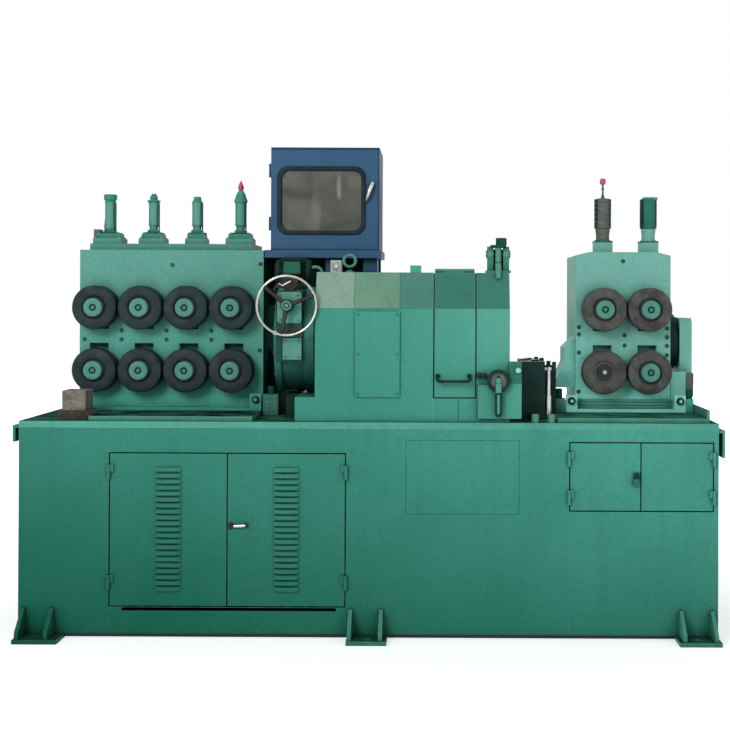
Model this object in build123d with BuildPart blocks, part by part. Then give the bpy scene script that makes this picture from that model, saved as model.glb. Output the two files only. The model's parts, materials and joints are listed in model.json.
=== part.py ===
from build123d import *
import os

# Centerless lathe that peels round bar: a welded bed, a stand of driven rollers at each end, and the peeling
# head between them. Millimetres. The origin is on the floor under the middle of the bed. The bar runs along
# +X, the operator stands at -Y, and +Z is up.

# Bed: a box of welded plate
BED_LENGTH = 2700
BED_DEPTH = 900
BED_TOP_Z = 834
WALL = 10
TOP_PLATE_T = 25
LEFT_END_X = -BED_LENGTH / 2
RIGHT_END_X = BED_LENGTH / 2
FRONT_Y = -BED_DEPTH / 2
BACK_Y = BED_DEPTH / 2
LIP_REACH = 27
LIP_HEIGHT = (64, 106)
LIP_DROP = (18, 27)
LIP_Z = [(BED_TOP_Z - drop - height, BED_TOP_Z - drop) for drop, height in zip(LIP_DROP, LIP_HEIGHT)]

# Feet: flat bars that run under the bed, with ribs in front and behind
FOOT_T = 16
FOOT_REACH = 108
FOOT_W = (169, 153, 160)
FOOT_IN = (9, 5)
MIDDLE_FOOT_X = -79
FOOT_X = (
    (LEFT_END_X + FOOT_IN[0], LEFT_END_X + FOOT_IN[0] + FOOT_W[0]),
    (MIDDLE_FOOT_X, MIDDLE_FOOT_X + FOOT_W[1]),
    (RIGHT_END_X - FOOT_IN[1] - FOOT_W[2], RIGHT_END_X - FOOT_IN[1]),
)
RIB_IN = ((14, 45), (11, 24), (21, 19))
RIB_X = [x for foot, ins in zip(FOOT_X, RIB_IN) for x in (foot[0] + ins[0], foot[1] - ins[1])]
RIB_T = 14
RIB_HEIGHT = 100
FOOT_HOLE_R = 13
FOOT_HOLE_IN = 90
FOOT_HOLE_X = (LEFT_END_X + FOOT_HOLE_IN, 0, RIGHT_END_X - FOOT_HOLE_IN)
FOOT_HOLE_OUT = 66
FOOT_HOLE_Y = BED_DEPTH / 2 + FOOT_HOLE_OUT

# Doors in the bed's front: the louvred pair is placed from the left end, the hatch pair from the right end
LOUVER_DOOR_W = (452, 453)
LOUVER_STRIP = 353
LOUVER_DOOR_LEFT = LEFT_END_X + LOUVER_STRIP
LOUVER_DOOR_X = (LOUVER_DOOR_LEFT, LOUVER_DOOR_LEFT + LOUVER_DOOR_W[0], LOUVER_DOOR_LEFT + sum(LOUVER_DOOR_W))
LOUVER_DOOR_Z = (124, 710)
HATCH_DOOR_W = (272, 277)
HATCH_STRIP = 23
HATCH_DOOR_RIGHT = RIGHT_END_X - HATCH_STRIP
HATCH_DOOR_X = (HATCH_DOOR_RIGHT - sum(HATCH_DOOR_W), HATCH_DOOR_RIGHT - HATCH_DOOR_W[1], HATCH_DOOR_RIGHT)
HATCH_DOOR_Z = (498, 757)
DOOR_GAP = 5
DOOR_T = 18
DOOR_SKIN = 3
LOUVER_COUNT = 21
LOUVER_PITCH = 23
LOUVER_LENGTH = 98
LOUVER_REACH = 9
LOUVER_RISE = 15
LOUVER_LOW_IN = 63
LOUVER_LOW_Z = LOUVER_DOOR_Z[0] + LOUVER_LOW_IN
SILL_SLOT_IN = (46, 32)
SILL_SLOT_X = (LOUVER_DOOR_X[0] + SILL_SLOT_IN[0], LOUVER_DOOR_X[2] - SILL_SLOT_IN[1])
SILL_SLOT_DROP = 7
SILL_SLOT_H = 13
SILL_SLOT_Z = (LOUVER_DOOR_Z[0] - SILL_SLOT_DROP - SILL_SLOT_H, LOUVER_DOOR_Z[0] - SILL_SLOT_DROP)
SEAM_PANEL_X = (142, 582)
SEAM_PANEL_Z = (480, 767)
SEAM = 3
HINGE_R = 7
KNUCKLE = 28
HINGE_GAP = 0.3
HINGE_Y = FRONT_Y - HINGE_R - HINGE_GAP
LOUVER_HINGE_IN = (91, 70)
LOUVER_HINGE_Z = (LOUVER_DOOR_Z[0] + LOUVER_HINGE_IN[0], LOUVER_DOOR_Z[1] - LOUVER_HINGE_IN[1])
HATCH_HINGE_IN = (50, 61)
HATCH_HINGE_Z = (HATCH_DOOR_Z[0] + HATCH_HINGE_IN[0], HATCH_DOOR_Z[1] - HATCH_HINGE_IN[1])
BULKHEAD_OUT = 47
BULKHEAD_X = (LOUVER_DOOR_X[2] + BULKHEAD_OUT, HATCH_DOOR_X[0] - BULKHEAD_OUT)

# The bar and the rollers that drive it
BAR_SET_BACK = 290
BAR_RISE = 309.5
BAR_Y = FRONT_Y + BAR_SET_BACK
BAR_Z = BED_TOP_Z + BAR_RISE
ROLLER_R = 89
ROLLER_W = 70
ROLLER_RISE = 127.5
ROLLER_PITCH = 185
HUB_R = 37.5
HUB_REACH = 19
HUB_BOLT_R = 11
HUB_BARE_REACH = 8
UNCAPPED_ROLLER = ("right_lower_roller", 1)
SHAFT_R = 27
SHAFT_DEPTH = 70
SHAFT_FIT = 0.1
SHAFT_END_GAP = 2
ROLLER_EDGE = 5
UPPER_Z = BAR_Z + ROLLER_RISE
LOWER_Z = BAR_Z - ROLLER_RISE
LEFT_FIRST_X = -1132
RIGHT_FIRST_X = 941
LEFT_ROLLER_X = [LEFT_FIRST_X + n * ROLLER_PITCH for n in range(4)]
RIGHT_ROLLER_X = [RIGHT_FIRST_X + n * ROLLER_PITCH for n in range(2)]

# Roller stands
STAND_SET_BACK = 345
STAND_DEPTH = 380
STAND_RISE = 237
STAND_FRONT_Y = FRONT_Y + STAND_SET_BACK
STAND_BACK_Y = STAND_FRONT_Y + STAND_DEPTH
SOLE_T = 18
SOLE_Z = BED_TOP_Z + SOLE_T
STAND_TOP_Z = UPPER_Z + STAND_RISE
LEFT_STAND_OUT = (80, 121)
RIGHT_STAND_OUT = (109, 96)
LEFT_STAND_X = (LEFT_ROLLER_X[0] - LEFT_STAND_OUT[0], LEFT_ROLLER_X[-1] + LEFT_STAND_OUT[1])
RIGHT_STAND_X = (RIGHT_ROLLER_X[0] - RIGHT_STAND_OUT[0], RIGHT_ROLLER_X[-1] + RIGHT_STAND_OUT[1])
STAND_CORNER = (55, 14)
WINDOW_W = 78
WINDOW_REACH = (89, 74)
WINDOW_Z = (UPPER_Z - WINDOW_REACH[0], UPPER_Z + WINDOW_REACH[1])
WINDOW_DEPTH = 215
NOTCH_REACH = (52, 108)
NOTCH_Z = (LOWER_Z + NOTCH_REACH[0], LOWER_Z + NOTCH_REACH[1])
NOTCH_DEPTH = 60
SLIDE_FIT = 0.5
SLIDE_LOW = 34
SLIDE_HIGH = 67
SLIDE_PROUD = 8
SLIDE_DEPTH = 205
LOWER_PAD = (78, 104)
ROD_R = 12
ROD_FIT = 0.3
ROD_REACH = 95
LEFT_TOP_PLATE_T = 30
LEFT_TOP_PLATE_SET_BACK = 100
LEFT_TOP_PLATE_IN = (14, 58)
LEFT_TOP_PLATE_X = (LEFT_STAND_X[0] + LEFT_TOP_PLATE_IN[0], LEFT_STAND_X[1] - LEFT_TOP_PLATE_IN[1])
SOLE_IN = (25, 110)
SOLE_Y = (FRONT_Y + SOLE_IN[0], BACK_Y - SOLE_IN[1])
SOLE_RIM = 31
SOLE_STEP = 7
LEFT_SOLE_OUT = 1
RIGHT_SOLE_OUT = (102, 98)
LEFT_SOLE_X = (LEFT_STAND_X[0], LEFT_STAND_X[1] + LEFT_SOLE_OUT)
RIGHT_SOLE_X = (RIGHT_STAND_X[0] - RIGHT_SOLE_OUT[0], RIGHT_STAND_X[1] + RIGHT_SOLE_OUT[1])
RIGHT_FLANGE_OUT = (44, 55)
RIGHT_FLANGE_X = (RIGHT_STAND_X[0] - RIGHT_FLANGE_OUT[0], RIGHT_STAND_X[1] + RIGHT_FLANGE_OUT[1])
STAND_FLANGE_T = 12
STAND_FLANGE_OUT = (55, 26)
FLANGE_Y = (STAND_FRONT_Y - STAND_FLANGE_OUT[0], STAND_BACK_Y + STAND_FLANGE_OUT[1])
GUSSET_IN = 20
GUSSET_LENGTH = 180
GUSSET_OUT = (45, 96)
GUSSET_RISE = (96, 103, 104)
GUSSET_LOW_Z = SOLE_Z + GUSSET_RISE[0]
GUSSET_KNEE_Z = GUSSET_LOW_Z + GUSSET_RISE[1]
GUSSET_TOP_Z = GUSSET_KNEE_Z + GUSSET_RISE[2]
LUG_W = 46
LUG_H = 57
LUG_T = 22
LUG_SCREW_SHARE = 0.6
HOLD_DOWN_W = 48
HOLD_DOWN_H = (20, 55)
HOLD_DOWN_BOLT_H = (14, 39)
BOLT_R = 13
BOLT_H = 14

# Air cylinders on the stands: how high each part rises over the one under it
CYLINDER_IN = 175
CYLINDER_Y = STAND_FRONT_Y + CYLINDER_IN
RIGHT_CYLINDER_SHIFT = 26
CYLINDER_BASE = (120, 24)
CYLINDER_FLANGE = (100, 20)
LEFT_NECK_R = 18
LEFT_NECK_H = 36
LEFT_BARREL_R = 24
LEFT_BARREL_H = 98
LEFT_CAP = (57, 37)
CONE_CAP_H = 13
PLUG_R = 12.5
PLUG_H = 46
RIGHT_BASE = (78, 52)
RIGHT_NECK_R = 29
RIGHT_NECK_H = 52
RIGHT_BARREL_R = 36
RIGHT_BARREL_H = 113
RIGHT_CAP_R = 26
RIGHT_CAP_H = 22
GLAND_NUT = (1.5, 12)
FITTING_R = 6
FITTING_H = 53
FITTING_CAP_H = 28

# Grey block where the bar comes in
INFEED_IN = 17
INFEED_SIZE = (91, 110, 76)
INFEED_BASE_T = 38
INFEED_BASE_OUT = 16
INFEED_SET_BACK = 40
INFEED_X = (LEFT_STAND_X[0] + INFEED_IN, LEFT_STAND_X[0] + INFEED_IN + INFEED_SIZE[0])
INFEED_Y = (FRONT_Y + INFEED_SET_BACK, FRONT_Y + INFEED_SET_BACK + INFEED_SIZE[1])
INFEED_Z = BED_TOP_Z + INFEED_BASE_T + INFEED_SIZE[2]

# Peeling head
HEAD_X = (-211, 543)
HEAD_SET_BACK = 15
HEAD_DEPTH = 585
HEAD_FRONT_Y = FRONT_Y + HEAD_SET_BACK
HEAD_BACK_Y = HEAD_FRONT_Y + HEAD_DEPTH
HEAD_RISE = 270.5
HEAD_TOP_Z = BAR_Z + HEAD_RISE
HEAD_SLOPE_H = 141
HEAD_FACE_Z = HEAD_TOP_Z - HEAD_SLOPE_H
HEAD_SLOPE_Y = 60
HEAD_FOOT_OUT = 77
BAR_BORE_R = 35
BRIDGE_T = 40
BRIDGE_SET_BACK = 20
PANEL_X = (-55, 117)
PANEL_RISE = 97
PANEL_DROP = 11
PANEL_Z = (BED_TOP_Z + PANEL_RISE, HEAD_FACE_Z - PANEL_DROP)
PANEL_T = 8
ACCESS_X = (249, 412)
ACCESS_Z = BED_TOP_Z + PANEL_RISE
ACCESS_T = 12
ACCESS_HINGE_IN = 175
ACCESS_HINGE_Y = HEAD_FRONT_Y + ACCESS_HINGE_IN
ACCESS_HINGE_R = 9
ACCESS_HINGE_Z = HEAD_TOP_Z + ACCESS_HINGE_R + HINGE_GAP
ACCESS_KNUCKLE = 40
ACCESS_GAP = 5
CHAMBER_DEPTH = 525
CHAMBER_BACK_Y = HEAD_FRONT_Y + CHAMBER_DEPTH
HANDLE_IN = (8, 17)
HANDLE_X = (ACCESS_X[0] + HANDLE_IN[0], ACCESS_X[1] - HANDLE_IN[1])
HANDLE_RISE = 63
HANDLE_DROP = 22
HANDLE_Z = (ACCESS_Z + HANDLE_RISE, ACCESS_Z + HANDLE_RISE + HANDLE_DROP)
HANDLE_R = 6
HANDLE_REACH = 34

# Drum between the head and the handwheel
DRUM_R = 215
DRUM_LENGTH = 167
DRUM_X = (HEAD_X[0] - DRUM_LENGTH, HEAD_X[0])
DRUM_WAIST = 12
DRUM_RING_W = (26, 41)
DRUM_RING_IN = 12
DRUM_GAP = 0.3
HEAD_FOOT_Z = BAR_Z - DRUM_R - DRUM_GAP
MOTOR_R = 55
MOTOR_CORE_R = 45
MOTOR_BELL = (8, 22)
MOTOR_BELL_R = 52
MOTOR_FINS = 24
MOTOR_FIN_T = 3
MOTOR_LENGTH = 150
MOTOR_OUT = 22
MOTOR_X = (DRUM_X[0] - MOTOR_OUT, DRUM_X[0] - MOTOR_OUT + MOTOR_LENGTH)
MOTOR_RISE = 61.5
MOTOR_Z = BAR_Z + DRUM_R + MOTOR_RISE
GEARBOX_IN = (10, 55)
GEARBOX_X = (DRUM_X[0] + GEARBOX_IN[0], DRUM_X[1] - GEARBOX_IN[1])
GEARBOX_REACH = (77.5, 197.5)
GEARBOX_Z = (BAR_Z - GEARBOX_REACH[0], BAR_Z + GEARBOX_REACH[1])
GEARBOX_SET_BACK = 60
GEARBOX_FRONT_Y = FRONT_Y + GEARBOX_SET_BACK
WHEEL_OFFSET = (48, 139.5)
WHEEL_X = GEARBOX_X[0] + WHEEL_OFFSET[0]
WHEEL_Z = BAR_Z + WHEEL_OFFSET[1]
WHEEL_R = 120.5
WHEEL_RIM_R = 6
WHEEL_STAND_OFF = 58
WHEEL_Y = GEARBOX_FRONT_Y - WHEEL_STAND_OFF
WHEEL_HUB_R = 19
SPOKE_R = (8, 5)
SPOKE_ANGLES = (20, 140, 260)
WHEEL_SHAFT_R = 10
WHEEL_BOSS_R = 24
WHEEL_BOSS = 16
WHEEL_DISH = 22
RING_SIDES = 8

# Clamps on the head
BRACKET_OUT = 45
BRACKET_SIZE = (168, 129)
BRACKET_RISE = 17
BRACKET_X = (HEAD_X[1] + BRACKET_OUT - BRACKET_SIZE[0], HEAD_X[1] + BRACKET_OUT)
BRACKET_Z = (BED_TOP_Z + BRACKET_RISE, BED_TOP_Z + BRACKET_RISE + BRACKET_SIZE[1])
BRACKET_T = 20
BRACKET_TAB_RISE = 91
KNOB_IN = 45
KNOB_RISE = 17
KNOB_X = HEAD_X[1] - KNOB_IN
KNOB_Z = BRACKET_Z[1] + KNOB_RISE
KNOB_R = 45
KNOB_T = 24
KNOB_RIM = 13
KNOB_DISH = 5
KNOB_NUT_R = 12
PIVOT_R = 22
LEVER_CLEAR = 5
LEVER_BACK_Y = HEAD_FRONT_Y - BRACKET_T - LEVER_CLEAR
ARM_W = 31
ARM_REACH = 140
ARM_T = 12
SWING_CLAMP_IN = 43
SWING_CLAMP_X = HEAD_X[1] - SWING_CLAMP_IN
SWING_REACH = 140
SWING_CLAMP_Z = HEAD_TOP_Z + SWING_REACH
SWING_BASE = (98, 60, 10)
SWING_EAR_RISE = 78
SWING_BOSS_R = 17
SWING_BOSS_OUT = 5
SWING_SLOT = 36
SWING_BOLT_R = 12
SWING_NUT_R = 25
SWING_NUT_H = 22
EYE_IN = (126, 185)
EYE_X = HEAD_X[0] + EYE_IN[0]
EYE_Y = HEAD_FRONT_Y + EYE_IN[1]
EYE_R = 30
EYE_WIRE = 8
EYE_SHANK_R = 7
EYE_RISE = 44
EYE_Z = HEAD_TOP_Z + EYE_RISE
LUG_HEAD_X = (155, 198)
LUG_HEAD_H = 28

# Glazed cabinet over the head
CABINET_SIZE = (447, 300, 424)
CABINET_OUT = 216
CABINET_SET_BACK = 350
LEDGE_H = 31
LEDGE_RISE = 65
LEDGE_OUT = (24, 10)
LEDGE_Z = (HEAD_TOP_Z + LEDGE_RISE, HEAD_TOP_Z + LEDGE_RISE + LEDGE_H)
CABINET_X = (HEAD_X[0] - CABINET_OUT, HEAD_X[0] - CABINET_OUT + CABINET_SIZE[0])
CABINET_Y = (FRONT_Y + CABINET_SET_BACK, FRONT_Y + CABINET_SET_BACK + CABINET_SIZE[1])
CABINET_Z = (LEDGE_Z[1], LEDGE_Z[1] + CABINET_SIZE[2])
LEDGE_X = (CABINET_X[0] - LEDGE_OUT[0], CABINET_X[1] + LEDGE_OUT[1])
CABINET_WALL = 5
CABINET_DOOR_T = 25
CABINET_DOOR_GAP = 0.3
LEG_W = (58, 40)
LEG_IN = (10, 185)
LEG_X = [(CABINET_X[1] - inset - width, CABINET_X[1] - inset) for inset, width in zip(LEG_IN, LEG_W)]
LEG_Y_IN = (50, 120)
LEG_Y = (CABINET_Y[0] + LEG_Y_IN[0], CABINET_Y[1] - LEG_Y_IN[1])
CABINET_HINGE_R = 6
CABINET_HINGE_X = CABINET_X[0] - CABINET_HINGE_R
CABINET_HINGE_IN = (110, 94)
CABINET_HINGE_Z = (CABINET_Z[0] + CABINET_HINGE_IN[0], CABINET_Z[1] - CABINET_HINGE_IN[1])
GLASS_IN_X = (43, 73)
GLASS_IN_Z = (80, 95)
GLASS_X = (CABINET_X[0] + GLASS_IN_X[0], CABINET_X[1] - GLASS_IN_X[1])
GLASS_Z = (CABINET_Z[0] + GLASS_IN_Z[0], CABINET_Z[1] - GLASS_IN_Z[1])
GLASS_T = 6
GLASS_FIT = 0.2
GLASS_CORNER = 34

# Behind and between
OUTLET_SIZE = (93, 280, 230)
OUTLET_GAP = 54
OUTLET_SET_BACK = 150
OUTLET_X = (HEAD_X[1] + OUTLET_GAP, HEAD_X[1] + OUTLET_GAP + OUTLET_SIZE[0])
OUTLET_Y = (FRONT_Y + OUTLET_SET_BACK, FRONT_Y + OUTLET_SET_BACK + OUTLET_SIZE[1])
OUTLET_TOP_Z = BED_TOP_Z + OUTLET_SIZE[2]
OUTLET_ROD_OUT = 16
OUTLET_ROD_X = OUTLET_X[1] + OUTLET_ROD_OUT
OUTLET_ROD_IN = 24
OUTLET_ROD_Y = OUTLET_Y[0] + OUTLET_ROD_IN
OUTLET_ROD_R = 9
OUTLET_ROD_DROP = 23
OUTLET_ROD_TOP_Z = OUTLET_TOP_Z - OUTLET_ROD_DROP
OUTLET_COLLAR_R = 14
OUTLET_COLLAR_H = 94
OUTLET_COLLAR_Z = BED_TOP_Z + OUTLET_COLLAR_H
OUTLET_TAB = 26
OUTLET_TAB_IN = 34
REAR_OUT = 32
REAR_LENGTH = 52
REAR_SET_BACK = 450
REAR_DEPTH = 350
REAR_X = (RIGHT_SOLE_X[1] + REAR_OUT - REAR_LENGTH, RIGHT_SOLE_X[1] + REAR_OUT)
REAR_Y = (FRONT_Y + REAR_SET_BACK, FRONT_Y + REAR_SET_BACK + REAR_DEPTH)
REAR_RISE = 400
REAR_BOX_DEPTH = 110
REAR_BOX_OUT = (-77, 12)
REAR_BOX_RISE = (65, 175)
REAR_TOP_Z = BED_TOP_Z + REAR_RISE
REAR_MOTOR_CLEAR = 6
REAR_MOTOR_R = 121
REAR_MOTOR_RISE = 296
REAR_MOTOR_STEP = 12
REAR_MOTOR_Z = BED_TOP_Z + REAR_MOTOR_RISE


def block(x, y, z, mode=Mode.ADD):
    """Adds or cuts a box between two corners in the part being built."""
    centre = ((x[0] + x[1]) / 2, (y[0] + y[1]) / 2, (z[0] + z[1]) / 2)
    with Locations(centre):
        Box(x[1] - x[0], y[1] - y[0], z[1] - z[0], mode=mode)


def post(x, y, z0, z1, radius, mode=Mode.ADD):
    """Adds or cuts an upright round bar in the part being built."""
    with Locations((x, y, (z0 + z1) / 2)):
        Cylinder(radius, z1 - z0, mode=mode)


def spindle(x, z, y0, y1, radius, mode=Mode.ADD):
    """Adds or cuts a round bar that runs from front to back."""
    with Locations(Location((x, (y0 + y1) / 2, z), (90, 0, 0))):
        Cylinder(radius, y1 - y0, mode=mode)


def cross_bar(x0, x1, y, z, radius, mode=Mode.ADD):
    """Adds or cuts a round bar that runs along the bed."""
    with Locations(Location(((x0 + x1) / 2, y, z), (0, 90, 0))):
        Cylinder(radius, x1 - x0, mode=mode)


def ring(x, y, z, radius, wire):
    """Adds an upright ring that faces the front. Its section has eight sides."""
    with BuildSketch(Plane((x, y, z), x_dir=(1, 0, 0), z_dir=(0, 0, 1))) as section:
        with Locations((radius - wire, 0)):
            RegularPolygon(wire, RING_SIDES)
    revolve(section.sketch, axis=Axis((x, y, z), (0, 1, 0)))


def save(piece, name):
    """Names a finished piece and writes its file."""
    piece.part.label = name
    export_step(piece.part, f"parts/{name}.step")


os.makedirs("parts", exist_ok=True)

# Bed

with BuildPart() as bed_top:
    block((LEFT_END_X, RIGHT_END_X), (FRONT_Y, BACK_Y), (BED_TOP_Z - TOP_PLATE_T, BED_TOP_Z))
save(bed_top, "bed_top")

BED_UNDER_TOP_Z = BED_TOP_Z - TOP_PLATE_T
FLOOR_TOP_Z = FOOT_T + WALL
INSIDE_Y = (FRONT_Y + WALL, BACK_Y - WALL)

with BuildPart() as bed_floor:
    block((LEFT_END_X, RIGHT_END_X), (FRONT_Y, BACK_Y), (FOOT_T, FLOOR_TOP_Z))
save(bed_floor, "bed_floor")

with BuildPart() as bed_back_wall:
    block((LEFT_END_X, RIGHT_END_X), (BACK_Y - WALL, BACK_Y), (FLOOR_TOP_Z, BED_UNDER_TOP_Z))
save(bed_back_wall, "bed_back_wall")

# An end plate at each side, each with a short angle that stands out along the bed's upper edge
with BuildPart() as bed_end_plates:
    for side, lip_z in zip((-1, 1), LIP_Z):
        outer = side * BED_LENGTH / 2
        inner = outer - side * WALL
        block(sorted((outer, inner)), INSIDE_Y, (FLOOR_TOP_Z, BED_UNDER_TOP_Z))
        lip_outer = outer + side * LIP_REACH
        block(sorted((outer, lip_outer)), INSIDE_Y, (lip_z[1] - WALL, lip_z[1]))
        block(sorted((lip_outer, lip_outer - side * WALL)), INSIDE_Y, lip_z)
save(bed_end_plates, "bed_end_plates")

# The front wall beside the doors: a strip at each end and the wide panel between the two pairs of doors
with BuildPart() as front_wall_panels:
    strips = (
        (LEFT_END_X, LOUVER_DOOR_X[0] - DOOR_GAP),
        (LOUVER_DOOR_X[2] + DOOR_GAP, HATCH_DOOR_X[0] - DOOR_GAP),
        (HATCH_DOOR_X[2] + DOOR_GAP, RIGHT_END_X),
    )
    for strip in strips:
        block(strip, (FRONT_Y, FRONT_Y + WALL), (FLOOR_TOP_Z, BED_UNDER_TOP_Z))
    # A welded-in panel shows as a fine seam
    seam_w = SEAM_PANEL_X[1] - SEAM_PANEL_X[0]
    seam_h = SEAM_PANEL_Z[1] - SEAM_PANEL_Z[0]
    with BuildSketch(Plane.XZ.offset(-FRONT_Y)):
        with Locations((sum(SEAM_PANEL_X) / 2, sum(SEAM_PANEL_Z) / 2)):
            Rectangle(seam_w, seam_h)
            Rectangle(seam_w - 2 * SEAM, seam_h - 2 * SEAM, mode=Mode.SUBTRACT)
    extrude(amount=-SEAM / 2, mode=Mode.SUBTRACT)
    # The lower half of each hinge of the louvred doors and the hatch doors
    hinges = [(x, z) for x in (LOUVER_DOOR_X[0], LOUVER_DOOR_X[2]) for z in LOUVER_HINGE_Z]
    hinges += [(x, z) for x in (HATCH_DOOR_X[0], HATCH_DOOR_X[2]) for z in HATCH_HINGE_Z]
    for x, z in hinges:
        side = 1 if x in (LOUVER_DOOR_X[2], HATCH_DOOR_X[2]) else -1
        post(x + side * DOOR_GAP, HINGE_Y, z - KNUCKLE, z, HINGE_R)
        leaf = sorted((x + side * DOOR_GAP, x + side * (DOOR_GAP + HINGE_R)))
        block(leaf, (HINGE_Y, FRONT_Y), (z - KNUCKLE, z))
save(front_wall_panels, "front_wall_panels")

# The rails over and under each pair of doors
with BuildPart() as front_wall_rails:
    front = (FRONT_Y, FRONT_Y + WALL)
    louver_span = (LOUVER_DOOR_X[0] - DOOR_GAP, LOUVER_DOOR_X[2] + DOOR_GAP)
    hatch_span = (HATCH_DOOR_X[0] - DOOR_GAP, HATCH_DOOR_X[2] + DOOR_GAP)
    block(louver_span, front, (LOUVER_DOOR_Z[1] + DOOR_GAP, BED_UNDER_TOP_Z))
    block(louver_span, front, (FLOOR_TOP_Z, LOUVER_DOOR_Z[0] - DOOR_GAP))
    block(hatch_span, front, (HATCH_DOOR_Z[1] + DOOR_GAP, BED_UNDER_TOP_Z))
    block(hatch_span, front, (FLOOR_TOP_Z, HATCH_DOOR_Z[0] - DOOR_GAP))
    block(SILL_SLOT_X, (FRONT_Y, FRONT_Y + WALL), SILL_SLOT_Z, mode=Mode.SUBTRACT)
save(front_wall_rails, "front_wall_rails")

# Plates across the bed that carry its top
with BuildPart() as bed_bulkheads:
    for x in BULKHEAD_X:
        block((x - WALL / 2, x + WALL / 2), INSIDE_Y, (FLOOR_TOP_Z, BED_UNDER_TOP_Z))
save(bed_bulkheads, "bed_bulkheads")

# Foot bars with a pair of ribs at each end, drilled for the foundation bolts
with BuildPart() as foot_brackets:
    for x in FOOT_X:
        block(x, (FRONT_Y - FOOT_REACH, BACK_Y + FOOT_REACH), (0, FOOT_T))
    for x in RIB_X:
        for side in (-1, 1):
            wall_y = side * BED_DEPTH / 2
            with BuildSketch(Plane.YZ.offset(x - RIB_T / 2)):
                with BuildLine():
                    Polyline(
                        (wall_y, FOOT_T),
                        (wall_y + side * (FOOT_REACH - WALL), FOOT_T),
                        (wall_y + side * (FOOT_REACH - WALL), FOOT_T + RIB_HEIGHT / 4),
                        (wall_y + side * RIB_T, FOOT_T + RIB_HEIGHT),
                        (wall_y, FOOT_T + RIB_HEIGHT),
                        close=True,
                    )
                make_face()
            extrude(amount=RIB_T)
    with Locations([(x, y, FOOT_T) for x in FOOT_HOLE_X for y in (-FOOT_HOLE_Y, FOOT_HOLE_Y)]):
        Hole(FOOT_HOLE_R, depth=FOOT_T)
save(foot_brackets, "foot_brackets")


def add_hinges(x, side, heights):
    """Adds the upper knuckle of each hinge to a bed door, with the leaf that joins it to the door's face."""
    for z in heights:
        axis_x = x + side * DOOR_GAP
        post(axis_x, HINGE_Y, z + HINGE_GAP, z + KNUCKLE, HINGE_R)
        block(sorted((axis_x, x - side * 2 * HINGE_R)), (HINGE_Y, FRONT_Y), (z + HINGE_GAP, z + KNUCKLE))


def door_pan(x, z):
    """Adds a sheet-metal door: a skin with its four edges turned back."""
    block(x, (FRONT_Y, FRONT_Y + DOOR_T), z)
    inner_x = (x[0] + DOOR_SKIN, x[1] - DOOR_SKIN)
    inner_z = (z[0] + DOOR_SKIN, z[1] - DOOR_SKIN)
    block(inner_x, (FRONT_Y + DOOR_SKIN, FRONT_Y + DOOR_T), inner_z, mode=Mode.SUBTRACT)


# Louvred doors, each with one column of pressed louvres that open downwards
louver_doors = (
    ("louver_door_left", LOUVER_DOOR_X[0], LOUVER_DOOR_X[1] - DOOR_GAP / 2, -1),
    ("louver_door_right", LOUVER_DOOR_X[1] + DOOR_GAP / 2, LOUVER_DOOR_X[2], 1),
)
for name, x0, x1, side in louver_doors:
    with BuildPart() as louver_door:
        door_pan((x0, x1), LOUVER_DOOR_Z)
        with BuildSketch(Plane.YZ.offset((x0 + x1 - LOUVER_LENGTH) / 2)):
            for n in range(LOUVER_COUNT):
                z = LOUVER_LOW_Z + n * LOUVER_PITCH
                with BuildLine():
                    Polyline(
                        (FRONT_Y, z - LOUVER_RISE / 3),
                        (FRONT_Y - LOUVER_REACH, z - LOUVER_RISE / 3),
                        (FRONT_Y, z + LOUVER_RISE * 2 / 3),
                        close=True,
                    )
                make_face()
        extrude(amount=LOUVER_LENGTH)
        add_hinges(x0 if side < 0 else x1, side, LOUVER_HINGE_Z)
    save(louver_door, name)

# Plain hatch doors with a hasp across their joint
hatch_doors = (
    ("hatch_door_left", HATCH_DOOR_X[0], HATCH_DOOR_X[1] - DOOR_GAP / 2, -1),
    ("hatch_door_right", HATCH_DOOR_X[1] + DOOR_GAP / 2, HATCH_DOOR_X[2], 1),
)
for name, x0, x1, side in hatch_doors:
    with BuildPart() as hatch_door:
        door_pan((x0, x1), HATCH_DOOR_Z)
        add_hinges(x0 if side < 0 else x1, side, HATCH_HINGE_Z)
    save(hatch_door, name)

# Roller stands
BLOCK_FRONT_Y = STAND_FRONT_Y - SLIDE_PROUD
SHAFT_END_Y = BLOCK_FRONT_Y + SHAFT_DEPTH
LUG_Y = (FLANGE_Y[0], FLANGE_Y[0] + LUG_T)


def stand_shell(x, flange_x, roller_x, rod_shift):
    """Adds a stand's casting: flange, body, a window for each upper bearing, a seat for each lower one."""
    block(x, (STAND_FRONT_Y, STAND_BACK_Y), (SOLE_Z, STAND_TOP_Z))
    block(flange_x, FLANGE_Y, (SOLE_Z, SOLE_Z + STAND_FLANGE_T))
    for roller in roller_x:
        window = (roller - WINDOW_W / 2, roller + WINDOW_W / 2)
        window_y = (STAND_FRONT_Y, STAND_FRONT_Y + WINDOW_DEPTH)
        block(window, window_y, WINDOW_Z, mode=Mode.SUBTRACT)
        block(window, (STAND_FRONT_Y, STAND_FRONT_Y + NOTCH_DEPTH), NOTCH_Z, mode=Mode.SUBTRACT)
        post(roller + rod_shift, CYLINDER_Y, WINDOW_Z[1], STAND_TOP_Z, ROD_R + ROD_FIT, mode=Mode.SUBTRACT)
        pad_x = (roller - LOWER_PAD[0] / 2, roller + LOWER_PAD[0] / 2)
        pad_z = (LOWER_Z - LOWER_PAD[1] / 2, LOWER_Z + LOWER_PAD[1] / 2)
        block(pad_x, (BLOCK_FRONT_Y, STAND_FRONT_Y), pad_z)
        spindle(roller, LOWER_Z, BLOCK_FRONT_Y, SHAFT_END_Y, SHAFT_R + SHAFT_FIT, mode=Mode.SUBTRACT)


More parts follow.
